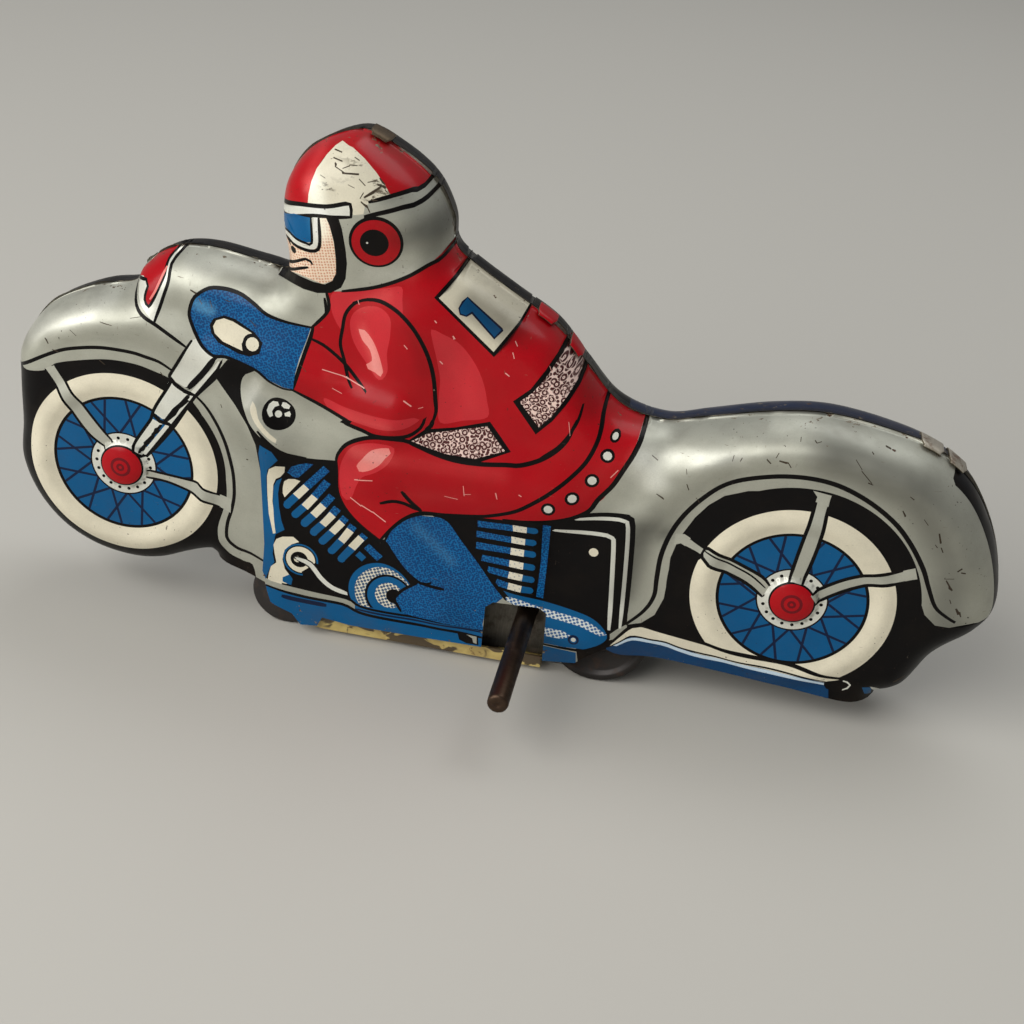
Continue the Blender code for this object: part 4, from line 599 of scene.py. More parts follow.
# painted light (+) and painted shade (-) laid into the print's colour: partly the print's own airbrushed
# shading, partly highlights on the rounded tops and shade down the far and lower parts of the silver
# mudguards, cowl, tank and helmet, where light falls on them; the points of a stroke, its radius and amount
LIGHT_SHADE_TONES = [
    ((-4.8, 54.9), (0.8, 52.4), 3.2, -0.9),  # number plate
    ((-2.4, 52.6), (-0.3, 50.5), 1.6, -0.15),
    ((3.3, 51.3), (7.0, 53.3), 3, -0.4),  # back
    ((10.5, 45.4), (12.3, 42.6), 3, -0.45),  # seat
    ((-12.4, 51.9), (-9.8, 45.4), 2.2, -0.35),  # sleeve
    ((-13.9, 50.8), (-12.9, 43.8), 1.6, -0.2),
    ((-11.6, 31.9), (1.6, 32.4), 2.8, 0.28),  # thigh
    ((-11.5, 26.1), (-1.9, 27.9), 2.2, 0.16),
    ((-20.3, 37.5), (-14.2, 37.1), 1.8, 0.3),  # elbow
    ((-23.2, 42.4), (-17.8, 41.4), 1.4, 0.3),  # forearm
    ((-19.2, 52.8), (-15.7, 54.9), 2.2, 0.3),  # shoulder
    ((-18.7, 49.8), (-16.1, 44.1), 1.6, 0.35),  # sleeve
    ((-7.5, 49.6), (-3.2, 40.8), 3, 0.12),
    ((-18.4, 32.2), (-14.1, 31.7), 2.6, 0.4),  # knee
    ((1.0, 36.9), (7.6, 39.1), 2.6, -0.15),
    ((16.7, 37.1), (12.7, 30.7), 2, 0.15),  # hem
    ((-26.9, 68.3), (-26.0, 71.7), 2, 0.35),  # crown
    ((-13.9, 73.3), (-10.9, 71.9), 3, -0.35),
    ((-20.7, 75.2), (-19.3, 73.1), 2.4, -0.1),
    ((-14.3, 62.9), (-8.6, 65.3), 3.6, -0.62),  # helmet, rear
    ((-10.1, 61.3), (-9.0, 62.4), 3, -0.3),
    ((-18.3, 57.4), (-12.8, 58.5), 2.2, 0.3),
    ((-16.5, 67.8), (-10.7, 69.6), 1.6, -0.3),  # band
    ((-25.6, 68.0), (-24.6, 62.6), 2.6, 0.75),
    # painted highlights on the rear mudguard's top, painted shade down its rear and in front of the rear
    # wheel
    ((20.6, 36.6), (22.4, 33.8), 3.6, 0.6),  # rear mudguard
    ((24.1, 37.7), (32.9, 39.4), 2.4, 0.4),
    ((22.7, 31.7), (25.2, 25.5), 2.6, -0.25),
    ((21.6, 26.5), (20.3, 16.2), 4.2, -0.7),
    ((24.2, 40.1), (35.4, 43.5), 2, -0.35),
    ((44.5, 42.0), (56.0, 38.5), (63.0, 28.5), (65.0, 16.0), 7.0, -0.62),
    ((18.5, 33.0), (19.3, 36.8), 2.4, 0.2),
    ((24.8, 26.2), (27.1, 29.0), 1.4, -0.3),
    # painted highlights on the front mudguard, cowl and tank
    ((-66.4, 40.5), (-55.0, 46.4), 3.2, 0.45),  # front mudguard
    ((-54.7, 44.9), (-49.5, 44.5), 2.4, -0.2),
    ((-63.6, 39.6), (-53.4, 42.1), 1.4, -0.15),
    ((-46.6, 44.3), (-43.9, 45.3), 2, 0.2),
    ((-43.7, 53.8), (-31.9, 53.0), 2.4, 0.35),  # cowl
    ((-38.1, 52.1), (-25.9, 51.2), 2.2, -0.35),
    ((-44.9, 51.3), (-43.3, 46.7), 1.8, -0.2),
    ((-33.9, 38.6), (-27.6, 37.0), 2.4, 0.25),  # tank
    ((-31.3, 33.1), (-21.8, 31.1), 2.2, -0.15),
    ((-32.8, 39.9), (-34.0, 36.2), 1.4, 0.5),
    ((-35.4, 34.1), (-33.1, 20.0), 2.2, -0.12),  # leg shield
    ((-39.1, 34.7), (-35.4, 24.4), 1.2, 0.2),
    ((-9.6, 21.4), (-4.1, 16.5), 1.8, 0.25),  # boot
    ((-11.0, 12.4), (-8.9, 8.4), 2.4, -0.1),
    ((-41.6, 49.1), (-39.9, 48.6), 1.8, 0.5),  # glove
    ((-37.6, 46.3), (-28.5, 42.5), 2.6, -0.12),
    ((30.8, 29.7), (41.1, 30.2), 1.2, -0.15),  # whitewall
    ((29.2, 19.8), (31.7, 12.2), 1.2, 0.15),
    ((33.1, 27.9), (36.2, 29.8), 1, -0.25),
]


# ---------------------------------------------------------------- plane geometry

def curve_through(points, spacing, closed=False):
    """Catmull-Rom curve through the points as an array."""
    pts = [np.array(p, float) for p in points]
    if closed:
        padded = [pts[-1]] + pts + [pts[0], pts[1]]
    else:
        padded = [pts[0]] + pts + [pts[-1]]
    out = []
    for a, b, c, d in zip(padded, padded[1:], padded[2:], padded[3:]):
        count = max(1, round(float(np.linalg.norm(c - b)) / spacing))
        for i in range(count):
            t = i / count
            out.append(0.5 * (2 * b + (c - a) * t + (2 * a - 5 * b + 4 * c - d) * t * t
                              + (3 * b - a - 3 * c + d) * t ** 3))
    if not closed:
        out.append(pts[-1])
    return np.array(out)


def straight_through(points, spacing):
    """Points along straight runs between the given ones."""
    out = []
    for a, b in zip(points, points[1:]):
        count = max(1, round(math.dist(a, b) / spacing))
        for i in range(count):
            t = i / count
            out.append((a[0] + (b[0] - a[0]) * t, a[1] + (b[1] - a[1]) * t))
    return np.array(out)


def circle(centre, radius, count=0):
    """A closed ring, with a point about every 0.45 mm unless told otherwise."""
    count = count or max(10, round(2 * math.pi * radius / 0.45))
    turn = np.arange(count) * 2 * math.pi / count
    return np.stack([centre[0] + radius * np.cos(turn), centre[1] + radius * np.sin(turn)], 1)


def inside(points, loop):
    """Which of the points lie in the closed loop."""
    hit = np.zeros(len(points), bool)
    low, high = loop.min(0), loop.max(0)
    near = np.where(((points >= low) & (points <= high)).all(1))[0]
    x, z = points[near, 0], points[near, 1]
    crossed = np.zeros(len(near), bool)
    for (ax, az), (bx, bz) in zip(loop, np.roll(loop, -1, 0)):
        if az == bz:
            continue
        crossed ^= ((az > z) != (bz > z)) & (x < ax + (z - az) * (bx - ax) / (bz - az))
    hit[near] = crossed
    return hit


def line_distance(points, line):
    """Distance of each point from an open line, and how far along the line its nearest point is."""
    best = np.full(len(points), 1e9)
    where = np.zeros(len(points))
    for i, (a, b) in enumerate(zip(line, line[1:])):
        run = b - a
        t = np.clip(((points - a) @ run) / max(float(run @ run), 1e-12), 0, 1)
        away = np.hypot(*(points - a - t[:, None] * run).T)
        closer = away < best
        best[closer] = away[closer]
        where[closer] = (i + t[closer]) / (len(line) - 1)
    return best, where


def smooth(t):
    """Eases from 0 to 1."""
    t = np.clip(t, 0, 1)
    return t * t * (3 - 2 * t)


def part_of(line, first, last):
    """The run of a line between the samples nearest to two points."""
    ends = [int(np.hypot(*(line - np.array(p)).T).argmin()) for p in (first, last)]
    return line[ends[0]:ends[1] + 1]


# only ROUNDED has a shoulder: the pressing stays open below the skirt, over the running wheels and
# along the exhaust pipe
EDGE_STEP = 0.7
EDGE = curve_through(CLOSED_EDGE, EDGE_STEP)
ROUNDED = part_of(EDGE, (-40.4, 9.0), (58.0, 4.9))


def height(points, side):
    """Distance of the printed face from the seam."""
    x, z = points[:, 0], points[:, 1]
    # the rider and engine stand a little proud of the mudguards
    face = FLANK + 0.6 * smooth((x + 38) / 10) * smooth((24 - x) / 8)
    for hub, inner, outer, top_only in ((FRONT_HUB, 18.2, 26.5, 0.0), (REAR_HUB, 18.8, 28.0, -4.0)):
        # each wheel has a raised sidewall, a domed hub and a bulging mudguard over it
        r = np.hypot(x - hub[0], z - hub[1])
        face += 0.5 * smooth(1 - abs(r - 12.3) / 2.4)
        face += 1.3 * np.sqrt(np.maximum(0, 1 - (r / 3.6) ** 2))
        middle, half = (inner + outer) / 2, (outer - inner) / 2
        face += 0.9 * smooth(1 - abs(r - middle) / half) * smooth((z - hub[1] + top_only) / 6)
    for a, b, radius, rise in RELIEF:
        away, _ = line_distance(points, np.array([a, b]))
        face += rise * smooth(1 - away / radius)
    for (cx, cz), radius, depth in DENTS:
        knock = np.exp(-(((x - cx) * 1.3) ** 2 + (z - cz) ** 2) / radius ** 2)
        face -= depth * knock * (1.0 if side < 0 else 0.5)
    away, _ = line_distance(points, ROUNDED)
    t = np.minimum(1, away / SHOULDER)
    return GAP + (face - GAP) * (1 - (1 - t) ** SHOULDER_POWER) ** (1 / SHOULDER_POWER)


def brush_width(half, along):
    """Half width of a brush line, which thins towards both ends. along runs from 0 to 1."""
    return half * (0.62 + 0.38 * np.minimum(1, np.minimum(along, 1 - along) * 7))


def stroke_outline(line, half):
    """Outline of a brush line."""
    width = brush_width(half, np.linspace(0, 1, len(line)))
    along = np.gradient(line, axis=0)
    along /= np.maximum(np.hypot(along[:, 0], along[:, 1]), 1e-9)[:, None]
    out = np.stack([-along[:, 1], along[:, 0]], 1) * width[:, None]
    return np.vstack([line + out, (line - out)[::-1]])


# the printed wheels' spokes, and the holes in the flange of each hub; angles in radians
SPOKE_PAIRS = 12
SPOKE_PHASE = 0.1
SPOKE_LEAN = 0.37
SPOKE_HALF = 0.19
FLANGE_HOLES = 18
FRONT_TYRE = 15.2
REAR_TYRE = 17.3
HUB_RADIUS = 4.7
RIM_RADIUS = 9.98
CURVE_STEP = 0.6


def wheel_shapes(hub, tyre):
    """One printed wheel, from its tyre in to its hub, as shapes like those of picture."""
    shapes = [(paint, circle(hub, radius), 0) for paint, radius in (
        ("black", tyre), ("cream", 14.0), ("black", 10.42), ("blue", RIM_RADIUS))]
    for i in range(SPOKE_PAIRS):
        base = SPOKE_PHASE + i * 2 * math.pi / SPOKE_PAIRS
        for lean in (-SPOKE_LEAN, SPOKE_LEAN):
            a = np.array((hub[0] + HUB_RADIUS * math.cos(base), hub[1] + HUB_RADIUS * math.sin(base)))
            b = np.array((hub[0] + RIM_RADIUS * math.cos(base + lean),
                          hub[1] + RIM_RADIUS * math.sin(base + lean)))
            run = (b - a) / np.linalg.norm(b - a)
            side = np.array((-run[1], run[0])) * SPOKE_HALF
            shapes.append(("spoke", np.array([a + side, b + side, b - side, a - side]), 0))
    for paint, radius in (("black", 4.95), ("silver_light", 4.72), ("black", 3.2)):
        shapes.append((paint, circle(hub, radius), 0))
    for i in range(FLANGE_HOLES):
        turn = i * 2 * math.pi / FLANGE_HOLES
        at = (hub[0] + 4.0 * math.cos(turn), hub[1] + 4.0 * math.sin(turn))
        shapes.append(("black", circle(at, 0.26, 8), 0))
    for paint, radius in (
            ("red", 2.95), ("maroon", 1.5), ("red", 1.08), ("maroon", 0.62), ("red", 0.24)):
        shapes.append((paint, circle(hub, radius), 0))
    return shapes


def mirrored_digit(points):
    """The race number reads the right way round on the other side too."""
    plate = next(np.array(s[4]) for s in ART if s[0] == "plate")
    centre = plate.mean(0)
    across = plate[1] - plate[0]
    across = across / np.linalg.norm(across)
    local = points - centre
    return centre + local - 2 * np.outer(local @ across, across)


def picture(side):
    """Every printed shape of one shell: paint, points, and half width, which is 0 for a closed area."""
    shapes = []
    for name, kind, paint, half, points in ART:
        if kind == "wheel":
            front = name == "front_wheel"
            shapes += wheel_shapes(FRONT_HUB, FRONT_TYRE) if front else wheel_shapes(REAR_HUB, REAR_TYRE)
            continue
        pts = np.array(points, float)
        if side > 0 and name.startswith("digit"):
            pts = mirrored_digit(pts)
        if kind == "disc":
            shapes.append((paint, circle(pts[0], half), 0))
        elif kind == "area":
            shapes.append((paint, curve_through(pts, CURVE_STEP, True), 0))
        elif kind == "plain" or len(pts) == 2:
            shapes.append((paint, pts, half))
        else:
            shapes.append((paint, curve_through(pts, CURVE_STEP), half))
    for paint, rows in SCRATCHES.items():
        for ax, az, bx, bz, half in rows:
            shapes.append((paint, np.array([(ax, az), (bx, bz)], float), half))
    return shapes


# ---------------------------------------------------------------- paints

def linear(red, green, blue):
    """A colour given as 0-255 screen values, in scene-linear light."""
    out = []
    for value in (red, green, blue):
        s = value / 255
        out.append(s / 12.92 if s <= 0.04045 else ((s + 0.055) / 1.055) ** 2.4)
    return (*out, 1.0)


class Paint:
    """Builds one material's nodes."""

    def __init__(self, name):
        self.mat = bpy.data.materials.new(name)
        self.mat.use_nodes = True
        self.nodes = self.mat.node_tree.nodes
        self.links = self.mat.node_tree.links
        self.shader = self.nodes["Principled BSDF"]
        self.where = self.nodes.new("ShaderNodeTexCoord").outputs["Object"]

    def put(self, socket, value):
        if isinstance(value, bpy.types.NodeSocket):
            self.links.new(value, socket)
        else:
            socket.default_value = value

    def set(self, **values):
        for key, value in values.items():
            self.put(self.shader.inputs[key.replace("_", " ")], value)

    def scaled(self, scale, turn=(0.0, 0.0, 0.0)):
        node = self.nodes.new("ShaderNodeMapping")
        node.inputs["Scale"].default_value = scale
        node.inputs["Rotation"].default_value = turn
        self.links.new(self.where, node.inputs["Vector"])
        return node.outputs["Vector"]

    def noise(self, scale, detail=3.0, rough=0.55, vector=None, distort=0.0):
        node = self.nodes.new("ShaderNodeTexNoise")
        node.inputs["Scale"].default_value = scale
        node.inputs["Detail"].default_value = detail
        node.inputs["Roughness"].default_value = rough
        node.inputs["Distortion"].default_value = distort
        self.links.new(vector or self.where, node.inputs["Vector"])
        return node.outputs["Fac"]

    def cells(self, random, vector):
        """Distance to the nearest of a flat scatter of points."""
        node = self.nodes.new("ShaderNodeTexVoronoi")
        node.voronoi_dimensions = "2D"
        node.inputs["Scale"].default_value = 1.0
        node.inputs["Randomness"].default_value = random
        self.links.new(vector, node.inputs["Vector"])
        return node.outputs["Distance"]

    def flat(self, scale, turn=0.0):
        """The side view's own plane, for printed screens."""
        return self.scaled((scale, scale, scale), (math.pi / 2, 0.0, turn))

    def step(self, value, low, high, to_low=0.0, to_high=1.0):
        node = self.nodes.new("ShaderNodeMapRange")
        node.interpolation_type = "SMOOTHSTEP"
        self.put(node.inputs["Value"], value)
        node.inputs["From Min"].default_value = low
        node.inputs["From Max"].default_value = high
        node.inputs["To Min"].default_value = to_low
        node.inputs["To Max"].default_value = to_high
        return node.outputs["Result"]

    def math(self, kind, a, b=0.0):
        node = self.nodes.new("ShaderNodeMath")
        node.operation = kind
        node.use_clamp = kind != "SUBTRACT"
        self.put(node.inputs[0], a)
        self.put(node.inputs[1], b)
        return node.outputs[0]

    def mix(self, factor, a, b, kind="MIX"):
        node = self.nodes.new("ShaderNodeMix")
        node.data_type = "RGBA"
        node.blend_type = kind
        self.put(node.inputs[0], factor)
        self.put(node.inputs[6], a)
        self.put(node.inputs[7], b)
        return node.outputs[2]

    def attribute(self, name):
        node = self.nodes.new("ShaderNodeAttribute")
        node.attribute_name = name
        return node.outputs["Fac"]

    def bump(self, value, strength, distance):
        node = self.nodes.new("ShaderNodeBump")
        node.inputs["Strength"].default_value = strength
        node.inputs["Distance"].default_value = distance
        self.links.new(value, node.inputs["Height"])
        self.links.new(node.outputs["Normal"], self.shader.inputs["Normal"])


BARE_METAL = 0.45  # how metallic the worn tin under a scratch still looks


def litho(name, colour, metallic=0.0, pattern=None, dark=0.45, light=None, wear=1.0, rough=0.36,
          coat=0.3, gloss=0.1):
    """Printed and varnished tin: the ink, its print pattern, its airbrushed shading together with painted
    highlights and painted shade, and age on top.
    """
    p = Paint(name)
    base = linear(*colour)
    blotch = p.noise(95, 3, 0.6)
    shade = tuple(c * 0.88 for c in base[:3]) + (1.0,)
    ink = p.mix(p.step(blotch, 0.35, 0.7), base, shade)
    if pattern:
        ink = pattern(p, ink)
    # painted highlight where the per-point value is positive, painted shade where it is negative
    light_shade_tone = p.attribute("light_shade_tone")
    bright = linear(*light) if light else tuple(min(1.0, c * 1.1 + 0.25) for c in base[:3]) + (1.0,)
    deep = tuple(c * dark for c in base[:3]) + (1.0,)
    ink = p.mix(p.step(light_shade_tone, 0.0, 1.0), ink, bright)
    ink = p.mix(p.step(light_shade_tone, 0.0, -1.0), ink, deep)
    grain = p.noise(5200, 2, 0.6)
    ink = p.mix(p.step(grain, 0.35, 0.75, 0.0, 0.14), ink, tuple(c * 0.5 for c in base[:3]) + (1.0,))
    # handling grime, in the hollows and towards the edges
    rub = p.attribute("rub")
    grime = p.math("MULTIPLY", p.step(p.noise(160, 5, 0.65), 0.42, 0.72),
                   p.math("ADD", p.math("MULTIPLY", rub, 0.2), 0.08 * wear))
    ink = p.mix(grime, ink, linear(70, 56, 40))
    # fine scratches in two directions
    first = p.noise(1.0, 2, 0.5, p.scaled((520, 520, 5200), (0.0, 0.55, 0.0)))
    second = p.noise(1.0, 2, 0.5, p.scaled((4600, 600, 420), (0.0, -0.35, 0.0)))
    marks = p.math("ADD", p.step(first, 0.735, 0.765), p.step(second, 0.745, 0.775))
    patchy = p.step(p.noise(70, 2, 0.5), 0.46, 0.62)
    scratches = p.math("MULTIPLY", marks, p.math("MULTIPLY", patchy, 0.75 * wear))
    # chips down to the tin, most of them near the edges
    chip_noise = p.noise(620, 4, 0.68)
    limit = p.math("SUBTRACT", 0.765, p.math("MULTIPLY", rub, 0.14 * wear))
    chips = p.math("GREATER_THAN", chip_noise, limit)
    specks = p.step(p.noise(2300, 1, 0.5), 0.735, 0.76)
    specks = p.math("MULTIPLY", specks, p.step(p.noise(55, 2, 0.5), 0.45, 0.6))
    bare = p.math("MAXIMUM", scratches, chips)
    rusty = p.mix(p.step(p.noise(900, 3, 0.6), 0.42, 0.6), linear(128, 118, 100), linear(74, 46, 28))
    ink = p.mix(bare, ink, rusty)
    ink = p.mix(p.math("MULTIPLY", specks, 0.8), ink, linear(40, 30, 24))
    p.set(Base_Color=ink)
    if metallic < BARE_METAL:
        metallic = p.math("MAXIMUM", p.math("MULTIPLY", bare, BARE_METAL), metallic)
    p.set(Metallic=metallic)
    worn = p.step(p.noise(240, 4, 0.6), 0.3, 0.8, rough, rough + 0.16)
    p.set(Roughness=p.math("ADD", worn, p.math("MULTIPLY", bare, 0.22)))
    p.set(Coat_Weight=coat, Coat_Roughness=0.2, Coat_IOR=1.45, Specular_IOR_Level=gloss)
    waves = p.math("ADD", p.math("MULTIPLY", p.noise(130, 2, 0.5), 0.8), p.math("MULTIPLY", bare, -0.05))
    p.bump(waves, 0.35, 0.0003)
    return p.mat


def dots(colour, scale, size, strength, turn=0.4, loose=0.2):
    """A screen of printed dots."""
    def pattern(p, ink):
        lattice = p.cells(loose, p.flat(scale, turn))
        mask = p.math("MULTIPLY", p.step(lattice, size + 0.1, size - 0.06), strength)
        return p.mix(mask, ink, linear(*colour))
    return pattern


def rosettes(colour, scale):
    """Joined broken rings, as on a spotted fur trim."""
    def pattern(p, ink):
        ring = p.cells(0.8, p.flat(scale))
        band = p.math("MULTIPLY", p.step(ring, 0.14, 0.20), p.step(ring, 0.45, 0.38))
        core = p.step(ring, 0.07, 0.02)
        small = p.cells(1.0, p.flat(scale * 2.2, 0.9))
        flecks = p.math("MULTIPLY", p.step(ring, 0.44, 0.50), p.step(small, 0.50, 0.42))
        gaps = p.step(p.noise(1.0, 2, 0.5, p.scaled((scale * 2.6, 1.0, scale * 2.6))), 0.34, 0.42)
        marks = p.math("MAXIMUM", p.math("MAXIMUM", p.math("MULTIPLY", band, gaps), core), flecks)
        return p.mix(marks, ink, linear(*colour))
    return pattern


def scuffed(colour, amount):
    """Heavy scuffs that lay a dark stain open."""
    def pattern(p, ink):
        big = p.noise(1.0, 5, 0.7, p.scaled((340, 340, 620), (0.0, 0.7, 0.0)))
        mask = p.math("MULTIPLY", p.step(big, 0.55, 0.62), p.step(p.noise(150, 2, 0.5), 0.42, 0.62))
        return p.mix(p.math("MULTIPLY", mask, amount), ink, linear(*colour))
    return pattern


def metal(name, colour, rough, stain=(60, 42, 28), stained=0.5, metallic=1.0, turned_marks=False):
    """Plain metal with machining marks, stain and small pits."""
    p = Paint(name)
    base = linear(*colour)
    soft = p.noise(210, 4, 0.6)
    ink = p.mix(p.step(soft, 0.3, 0.75), base, tuple(c * 0.6 for c in base[:3]) + (1.0,))
    marks = p.noise(1.0, 2, 0.5, p.scaled((300, 6000, 300)) if turned_marks else p.scaled((4000, 900, 500)))
    ink = p.mix(p.step(marks, 0.4, 0.8, 0.0, 0.35), ink, tuple(min(1, c * 1.5) for c in base[:3]) + (1.0,))
    rust = p.math("MULTIPLY", p.step(p.noise(420, 6, 0.68), 0.50, 0.66), stained)
    ink = p.mix(rust, ink, linear(*stain))
    p.set(Base_Color=ink, Metallic=p.step(rust, 0.0, 1.0, metallic, metallic * 0.35))
    p.set(Roughness=p.math("ADD", p.step(soft, 0.3, 0.8, rough, rough + 0.15), p.math("MULTIPLY", rust, 0.3)))
    p.bump(p.math("ADD", p.math("MULTIPLY", marks, 0.3), rust), 0.3, 0.00004)
    return p.mat


def blotched_base():
    """Yellow printed tin with brown blotches, worn on its lower side."""
    p = Paint("base_print")
    yellow = linear(200, 178, 108)
    ink = p.mix(p.step(p.noise(260, 3, 0.6), 0.35, 0.7), yellow, linear(166, 142, 84))
    brown = p.step(p.noise(1.0, 3, 0.55, p.scaled((210, 210, 330)), 0.8), 0.50, 0.545)
    ink = p.mix(p.math("MULTIPLY", brown, 0.92), ink, linear(58, 44, 34))
    rust = p.step(p.noise(700, 5, 0.7), 0.60, 0.68)
    ink = p.mix(p.math("MULTIPLY", rust, 0.7), ink, linear(84, 50, 30))
    p.set(Base_Color=ink, Metallic=0.15, Coat_Weight=0.4, Coat_Roughness=0.2)
    p.set(Roughness=p.step(p.noise(300, 4, 0.6), 0.3, 0.8, 0.34, 0.6))
    p.bump(p.noise(500, 4, 0.6), 0.25, 0.00006)
    return p.mat


PAINTS = {
    # dark and light: the colours that painted shade and painted highlights mix the ink towards
    "silver": litho("print_silver", (182, 182, 168), metallic=0.6, dark=0.22, light=(236, 236, 224),
                    rough=0.44, coat=0.16, gloss=0.4),
    "silver_light": litho("print_silver_light", (224, 224, 212), metallic=0.3, dark=0.5,
                          light=(250, 250, 244), rough=0.36, coat=0.25),
    "silver_mid": litho("print_silver_mid", (190, 190, 176), metallic=0.5, dark=0.4,
                        light=(236, 236, 226), rough=0.42, coat=0.16, gloss=0.4),
    "black": litho("print_black", (11, 9, 9), dark=0.6, light=(44, 42, 42), wear=0.5, coat=0.16,
                   gloss=0.06),
    "spoke": litho("print_spoke", (8, 26, 58), wear=0.5, coat=0.3),
    "navy": litho("print_navy", (4, 24, 56), coat=0.3),
    "blue": litho("print_blue", (0, 86, 136), light=(60, 140, 190)),
    "stipple_blue": litho("print_blue_dots", (10, 100, 156),
                          pattern=dots((0, 52, 104), 3000, 0.42, 0.9, loose=0.7), light=(110, 176, 214)),
    "pipe_blue": litho("print_pipe_blue", (8, 58, 98)),
    "pale_blue": litho("print_pale_blue", (196, 214, 226)),
    "red": litho("print_red", (172, 2, 17), dark=0.45, light=(220, 78, 78)),
    "red_soft": litho("print_red_soft", (200, 42, 50), dark=0.55, light=(232, 112, 106)),
    "maroon": litho("print_maroon", (110, 6, 20)),
    "pink": litho("print_pink", (236, 132, 124), light=(246, 190, 182)),
    "pale_scratch": litho("print_pale_scratch", (226, 160, 150), rough=0.5, coat=0.1),
    "scuff": litho("print_scuff", (66, 56, 44), rough=0.55, coat=0.1),
    "cream": litho("print_cream", (224, 216, 192), light=(246, 242, 228), dark=0.6),
    "cream_flat": litho("print_cream_flat", (226, 219, 198),
                        pattern=dots((30, 90, 140), 1500, 0.14, 0.5)),
    "cream_worn": litho("print_cream_worn", (220, 213, 190), pattern=scuffed((72, 62, 46), 0.9),
                        rough=0.4, wear=1.2),
    "plate": litho("print_plate", (214, 207, 184), pattern=scuffed((120, 108, 84), 0.4), dark=0.42,
                   metallic=0.15),
    "stipple_cream": litho("print_cream_dots", (222, 216, 196),
                           pattern=dots((20, 66, 104), 2000, 0.40, 0.95)),
    "stipple_white": litho("print_white_dots", (218, 224, 220),
                           pattern=dots((10, 80, 140), 1900, 0.36, 0.95)),
    "leopard": litho("print_spots", (236, 208, 196), pattern=rosettes((66, 6, 14), 980), wear=0.6),
    "skin": litho("print_skin", (234, 212, 186), pattern=dots((196, 120, 88), 2500, 0.30, 0.8, 0.2),
                  dark=0.6, wear=0.5),
    "tin_edge": metal("tin_cut_edge", (150, 140, 120), 0.42, stained=0.75),
    "tin_inside": metal("tin_inside", (150, 146, 134), 0.36, stained=0.45),
    "tab_worn": metal("tin_tab_bare", (176, 168, 152), 0.42, stain=(92, 62, 42), stained=0.8,
                      metallic=0.6),
    "tin_rust": metal("tin_tab_worn", (96, 82, 66), 0.5, stained=0.9),
    "shaft": metal("shaft_dark_steel", (82, 66, 54), 0.36, stain=(48, 30, 20), stained=0.55,
                   turned_marks=True),
    "steel": metal("dull_steel", (140, 138, 132), 0.36, stained=0.35, turned_marks=True),
    "plate_steel": metal("motor_plate_steel", (104, 100, 92), 0.46, stained=0.6),
    "spring": metal("blued_spring", (70, 74, 92), 0.28, stained=0.3),
    "brass": metal("clock_brass", (206, 168, 96), 0.3, stain=(92, 66, 34), stained=0.4),
    "wheel_black": metal("running_wheel_black", (46, 42, 40), 0.42, stain=(70, 48, 34), stained=0.45,
                         metallic=0.5, turned_marks=True),
    "roller_black": metal("roller_black", (40, 35, 33), 0.5, stain=(78, 58, 42), stained=0.4,
                          metallic=0.15, turned_marks=True),
    "base": blotched_base(),
}


# ---------------------------------------------------------------- the pressed shells

def light_and_shade_at(points):
    """Painted light and shade at each point, from -1 to 1: the print's airbrushing together with highlights
    and shade painted onto the rounded silver.
    """
    light_shade_tone = np.zeros(len(points))
    for *stroke, radius, amount in LIGHT_SHADE_TONES:
        away, _ = line_distance(points, np.array(stroke, float))
        light_shade_tone += amount * smooth(1 - away / radius)
    return np.clip(light_shade_tone, -1, 1)


# how deep from the edge the rounded shoulder gets its rows of points
SHOULDER_ROWS = (0.04, 0.13, 0.3, 0.6, 0.9, 1.5, 2.4, 3.3)
GRID_STEP = 0.95
GRID_COLUMNS = range(-76, 77)
GRID_ROWS = range(1, 80)
GRID_MARGIN = 3.7  # from the edge, which has the shoulder's own rows
HUB_RINGS = (0.9, 1.8, 2.5, 3.1, 3.45, 3.6)  # extra points on the domed hubs
SLOPE_STEP = 0.02
RUB_REACH = 1.3  # how far in from the edge the print is rubbed


